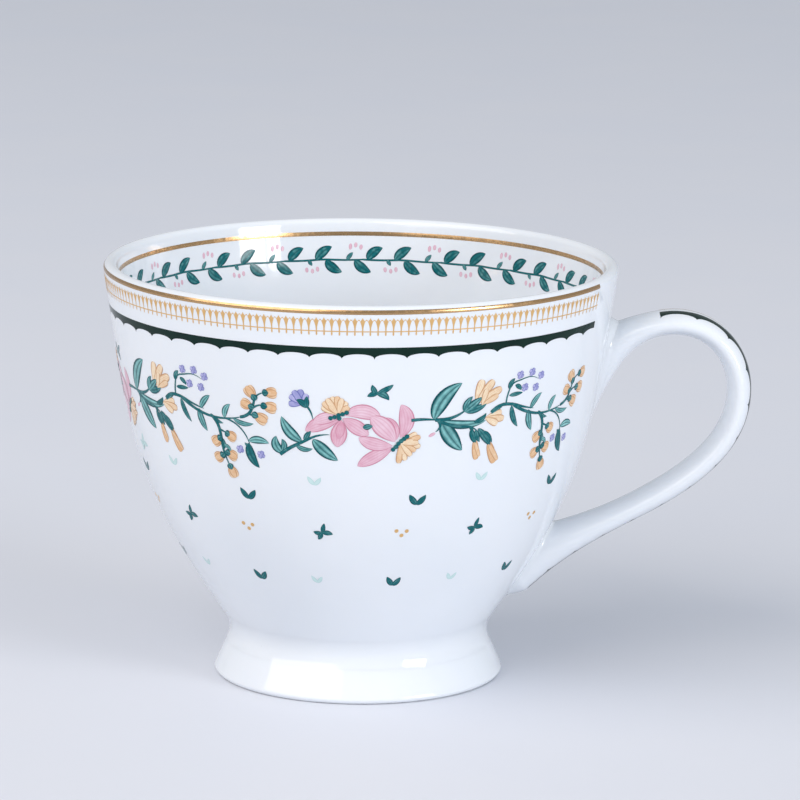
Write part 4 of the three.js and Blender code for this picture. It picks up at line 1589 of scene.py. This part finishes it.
        fan(marks.buds, petal, 0.58, (7.6, 24.5),
                 [(10.4, 22.6), (11.1, 23.3), (10.8, 24.4), (11.2, 25.2), (10.4, 26.0), (9.6, 26.9),
                  (8.6, 27.8), (7.4, 28.3), (9.8, 24.0), (9.4, 25.4), (8.3, 26.6)], tones, 4)
        beads = ((-4.7, 19.7), (-4.0, 19.5), (-3.3, 19.1), (-2.6, 18.9), (-1.9, 18.6), (-3.2, 19.7),
                 (6.3, 25.6), (6.8, 25.1), (7.2, 24.5), (7.7, 24.0), (8.2, 23.6), (8.7, 23.2))
        for u, s in beads:
            marks.leaves.append(Stroke(Outline.BUD, 0.42, 0.0, ((u - 0.4, s), (u + 0.4, s)), 8))
        leaf(0.55, 0.3, (0.9, 21.4), (2.6, 21.1), layer=5)
        stem(0.34, (-14.1, 27.2), (-12.2, 25.8), (-9.6, 24.4), (-7.2, 23.2), (-4.9, 22.9))
        leaf(1.05, 0.65, (-9.9, 24.4), (-12.0, 22.8), (-13.4, 19.9))
        leaf(0.9, 0.62, (-13.6, 26.8), (-14.8, 25.4), (-14.6, 23.7))
        leaf(0.6, 0.3, (-13.7, 26.6), (-13.2, 25.4), (-13.6, 24.2))
        leaf(0.5, 0.3, (-11.0, 25.1), (-9.6, 25.9), (-8.0, 25.7))
        leaf(1.15, 0.62, (-7.9, 23.9), (-6.2, 25.8), (-3.5, 27.8))
        leaf(0.5, 0.15, (-9.4, 24.3), (-8.9, 23.2), (-8.2, 22.3))
        stem(0.2, (-9.0, 17.4), (-8.2, 18.6), (-7.8, 20.1))
        leaf(0.62, 0.05, (-8.9, 18.0), (-9.4, 17.2), (-10.6, 16.6), layer=4)
        leaf(0.5, 0.05, (-8.8, 18.0), (-8.8, 16.9), (-8.7, 15.8), layer=4)
        fan(marks.florets, petal, 0.62, (-9.4, 17.3),
                 [(-12.0, 17.4), (-11.8, 15.9), (-11.1, 14.9), (-9.9, 14.6), (-8.8, 15.4), (-10.6, 15.8)],
                 (0.1, 0.6, 0.3))
        leaf(0.52, 0.1, (3.3, 15.0), (4.6, 14.4), (6.0, 13.4))
        leaf(0.62, 0.15, (3.1, 15.0), (4.2, 15.2), (5.3, 16.3))
        leaf(0.5, 0.05, (3.4, 15.0), (2.4, 15.2), (1.6, 15.6))
        leaf(0.5, 0.05, (3.2, 15.2), (2.7, 14.4), (2.4, 13.4))
        return marks

    def build(self, finishes: Finishes) -> None:
        """Draws the sprays all round and the flowers between them.

        Args:
            finishes: the cup's finishes.
        """
        brush = Brush(self.wall)
        spray_copies = [-self.period * i for i in range(self.sprays)]
        motifs = ((self.spray(), spray_copies), (self.flowers(), spray_copies[:-1]))
        for name, group, finish, nodes in (
            ("garland_leaves", "leaves", finishes.leaf, ("flower_garland",)),
            ("garland_pink_petals", "pinks", finishes.pink, ()),
            ("garland_buds", "buds", finishes.apricot, ()),
            ("garland_violet_florets", "florets", finishes.violet, ()),
        ):
            parts = [brush.paint(getattr(marks, group), copies) for marks, copies in motifs
                     if getattr(marks, group)]
            Surface.joined(parts).piece(name, finish, *nodes)


@dataclass
class Sprigs:
    """Small motifs strewn below the garland: pairs and clusters of leaves, and gold dots."""

    wall: Wall
    spacing: float = 32.0

    def copies(self, first: float, spacing: float | None = None) -> list[float]:
        """Places of a motif round the wall, from its first one leftwards.

        Args:
            first: place of the first.
            spacing: step to the next, if it isn't the usual one.

        Returns:
            A place for each copy.
        """
        step = spacing or self.spacing
        count = int((first - DECOR_FROM - 3) / step) + 1
        return [first - step * i for i in range(count)]

    @staticmethod
    def pair(drop: float, half: float, tone: float, size: float = 0.9) -> list[Stroke]:
        """Two leaves that part from one point.

        Args:
            drop: drop of the point.
            half: half width of a leaf.
            tone: its lightness.
            size: scale of the drawing.

        Returns:
            The two strokes.
        """
        sides = (((0.1, 1.2), (-0.9, 0.2), (-1.7, -1.1)), ((-0.1, 1.2), (1.0, 0.3), (1.8, -0.9)))
        return [Stroke(Outline.LEAF, half, tone, tuple((size * u, drop + size * s) for u, s in spots), i)
                for i, spots in enumerate(sides)]

    @staticmethod
    def cluster(drop: float) -> list[Stroke]:
        """Four small leaves about one point.

        Args:
            drop: drop of the point.

        Returns:
            The four strokes.
        """
        tips = (((0.2, -1.0), (0.5, -2.1), 0.48), ((1.1, -0.1), (2.1, 0.2), 0.55),
                ((-0.9, 0.0), (-1.8, -0.3), 0.48), ((-0.4, 0.6), (-0.9, 1.4), 0.5))
        return [Stroke(Outline.LEAF, half, 0.0, ((0.0, drop), (u, drop + s), (u1, drop + s1)), i)
                for i, ((u, s), (u1, s1), half) in enumerate(tips)]

    def build(self, finishes: Finishes) -> None:
        """Makes the dark motifs, the pale ones and the gold dots.

        Args:
            finishes: the cup's finishes.
        """
        brush = Brush(self.wall)
        dark = [brush.paint(self.pair(35.6, 0.6, 0.0), self.copies(44.4, 33.0)),
                brush.paint(self.cluster(42.7), self.copies(25.0)),
                brush.paint(self.pair(53.6, 0.66, 0.0), self.copies(40.4))]
        Surface.joined(dark).piece("strewn_dark_sprigs", finishes.leaf)
        pale = [brush.paint(self.pair(31.9, 0.42, 0.4, 0.7), self.copies(24.0)),
                brush.paint(self.pair(53.4, 0.42, 0.5, 0.7), self.copies(22.7)),
                brush.paint(self.cluster(31.0), self.copies(-52.0)[::2])]
        Surface.joined(pale).piece("strewn_pale_sprigs", finishes.pale_leaf)
        dots = [Stroke(Outline.BUD, 0.4, 0.5, ((u - 0.42, s), (u + 0.42, s + 0.02)))
                for u, s in ((-1.1, 42.1), (1.0, 42.2), (0.0, 43.1))]
        brush.paint(dots, self.copies(41.0)).piece("strewn_gold_dots", finishes.gilt_print)


# ---- The studio ---------------------------------------------------------------------------


@dataclass
class Studio:
    """A pale table top under soft daylight from the front left, and the camera."""

    wall: Wall
    lens: float = 212.13
    distance: float = 851.3
    height: float = 228.0
    sideways: float = 7.364
    pitch: float = 0.205
    roll: float = 0.010
    table: str = "#DDDFE6"
    mottle: str = "#D8DCE6"
    sky: str = "#E3E8EF"
    sky_strength: float = 0.66

    def camera(self) -> None:
        """A long lens level with the front of the cup, looking slightly down."""
        data = bpy.data.cameras.new("studio_camera")
        data.lens = self.lens
        data.clip_end = 20
        camera = add_object("studio_camera", data)
        spot = Matrix.Translation(((self.wall.axis_x + self.sideways) * MM,
                                   (self.wall.axis_y - self.distance) * MM, self.height * MM))
        tilt = Matrix.Rotation(math.pi / 2 - self.pitch, 4, "X")
        camera.matrix_world = spot @ tilt @ Matrix.Rotation(self.roll, 4, "Z")
        bpy.context.scene.camera = camera

    def table_top(self) -> None:
        """A wide disc of pale card, with a faint mottle."""
        material, tree, coord = new_material("studio_card")
        mottle = add_node(tree, "TexNoise", {"Scale": per_metre(60), "Detail": 3.0},
                          {"Vector": coord})
        colour = add_node(tree, "Mix",
                          {"data_type": "RGBA", 6: linear(self.table), 7: linear(self.mottle)},
                          {0: mottle.outputs["Fac"]})
        shader = add_node(tree, "BsdfPrincipled", {"Roughness": 0.55, "Specular IOR Level": 0.25},
                          {"Base Color": colour.outputs[2]})
        add_node(tree, "OutputMaterial", links={0: shader.outputs[0]})
        angle = np.linspace(0, 2 * math.pi, 96, endpoint=False)
        rim = np.stack([6 * np.cos(angle), 6 * np.sin(angle), 0 * angle], -1)
        mesh = bpy.data.meshes.new("table_top")
        mesh.from_pydata(rim.tolist(), [], [list(range(96))])
        mesh.materials.append(material)
        table = add_object("table_top", mesh)

    def light(self, name: str, azimuth: float, elevation: float, distance: float,
              size: tuple[float, float], radiance: float, tint: str) -> None:
        """Adds a rectangular light that faces the cup.

        Args:
            name: the light's name.
            azimuth: degrees round from the front, towards +X.
            elevation: degrees up from level.
            distance: metres from the cup.
            size: width and height in metres.
            radiance: brightness of its face.
            tint: its colour.
        """
        data = bpy.data.lights.new(name, "AREA")
        data.shape = "RECTANGLE"
        data.size, data.size_y = size
        data.energy = radiance * math.pi * size[0] * size[1]
        data.color = linear(tint)[:3]
        light = add_object(name, data)
        spin = Matrix.Rotation(math.radians(azimuth), 4, "Z")
        rise = Matrix.Rotation(math.radians(90 - elevation), 4, "X")
        middle = Matrix.Translation((self.wall.axis_x * MM, 0, self.wall.height * MM / 2))
        light.matrix_world = middle @ spin @ rise @ Matrix.Translation((0, 0, distance))

    def build(self) -> None:
        """Sets the table, the sky's even light, the two windows and the camera."""
        self.camera()
        self.table_top()
        world = bpy.data.worlds.new("studio_sky")
        world.use_nodes = True
        background = world.node_tree.nodes["Background"]
        background.inputs[0].default_value = linear(self.sky)
        background.inputs[1].default_value = self.sky_strength
        bpy.context.scene.world = world
        self.light("soft_daylight", -50, 38, 1.7, (2.0, 1.6), 2.45, "#FFF8F1")
        self.light("window_left_pane", 55.6, 14.5, 3.0, (0.70, 1.0), 14.0, "#FFFFFF")
        self.light("window_right_pane", 44.3, 14.5, 3.0, (0.34, 1.0), 14.0, "#FFFFFF")
        bpy.context.scene.view_settings.view_transform = "Standard"


def main() -> None:
    """Builds the cup's pieces in order, then the studio."""
    logging.basicConfig(level=logging.INFO, format="%(name)s: %(message)s")
    finishes = Finishes()
    wall = Wall()
    handle = Handle(wall)
    for part in (Bowl(wall), Foot(wall), handle, HandleTrim(handle), RimBorders(wall),
                 InnerBorders(wall), Garland(wall), Sprigs(wall)):
        log.info("building %s", type(part).__name__)
        part.build(finishes)
    Studio(wall).build()


if __name__ == "__main__":
    main()
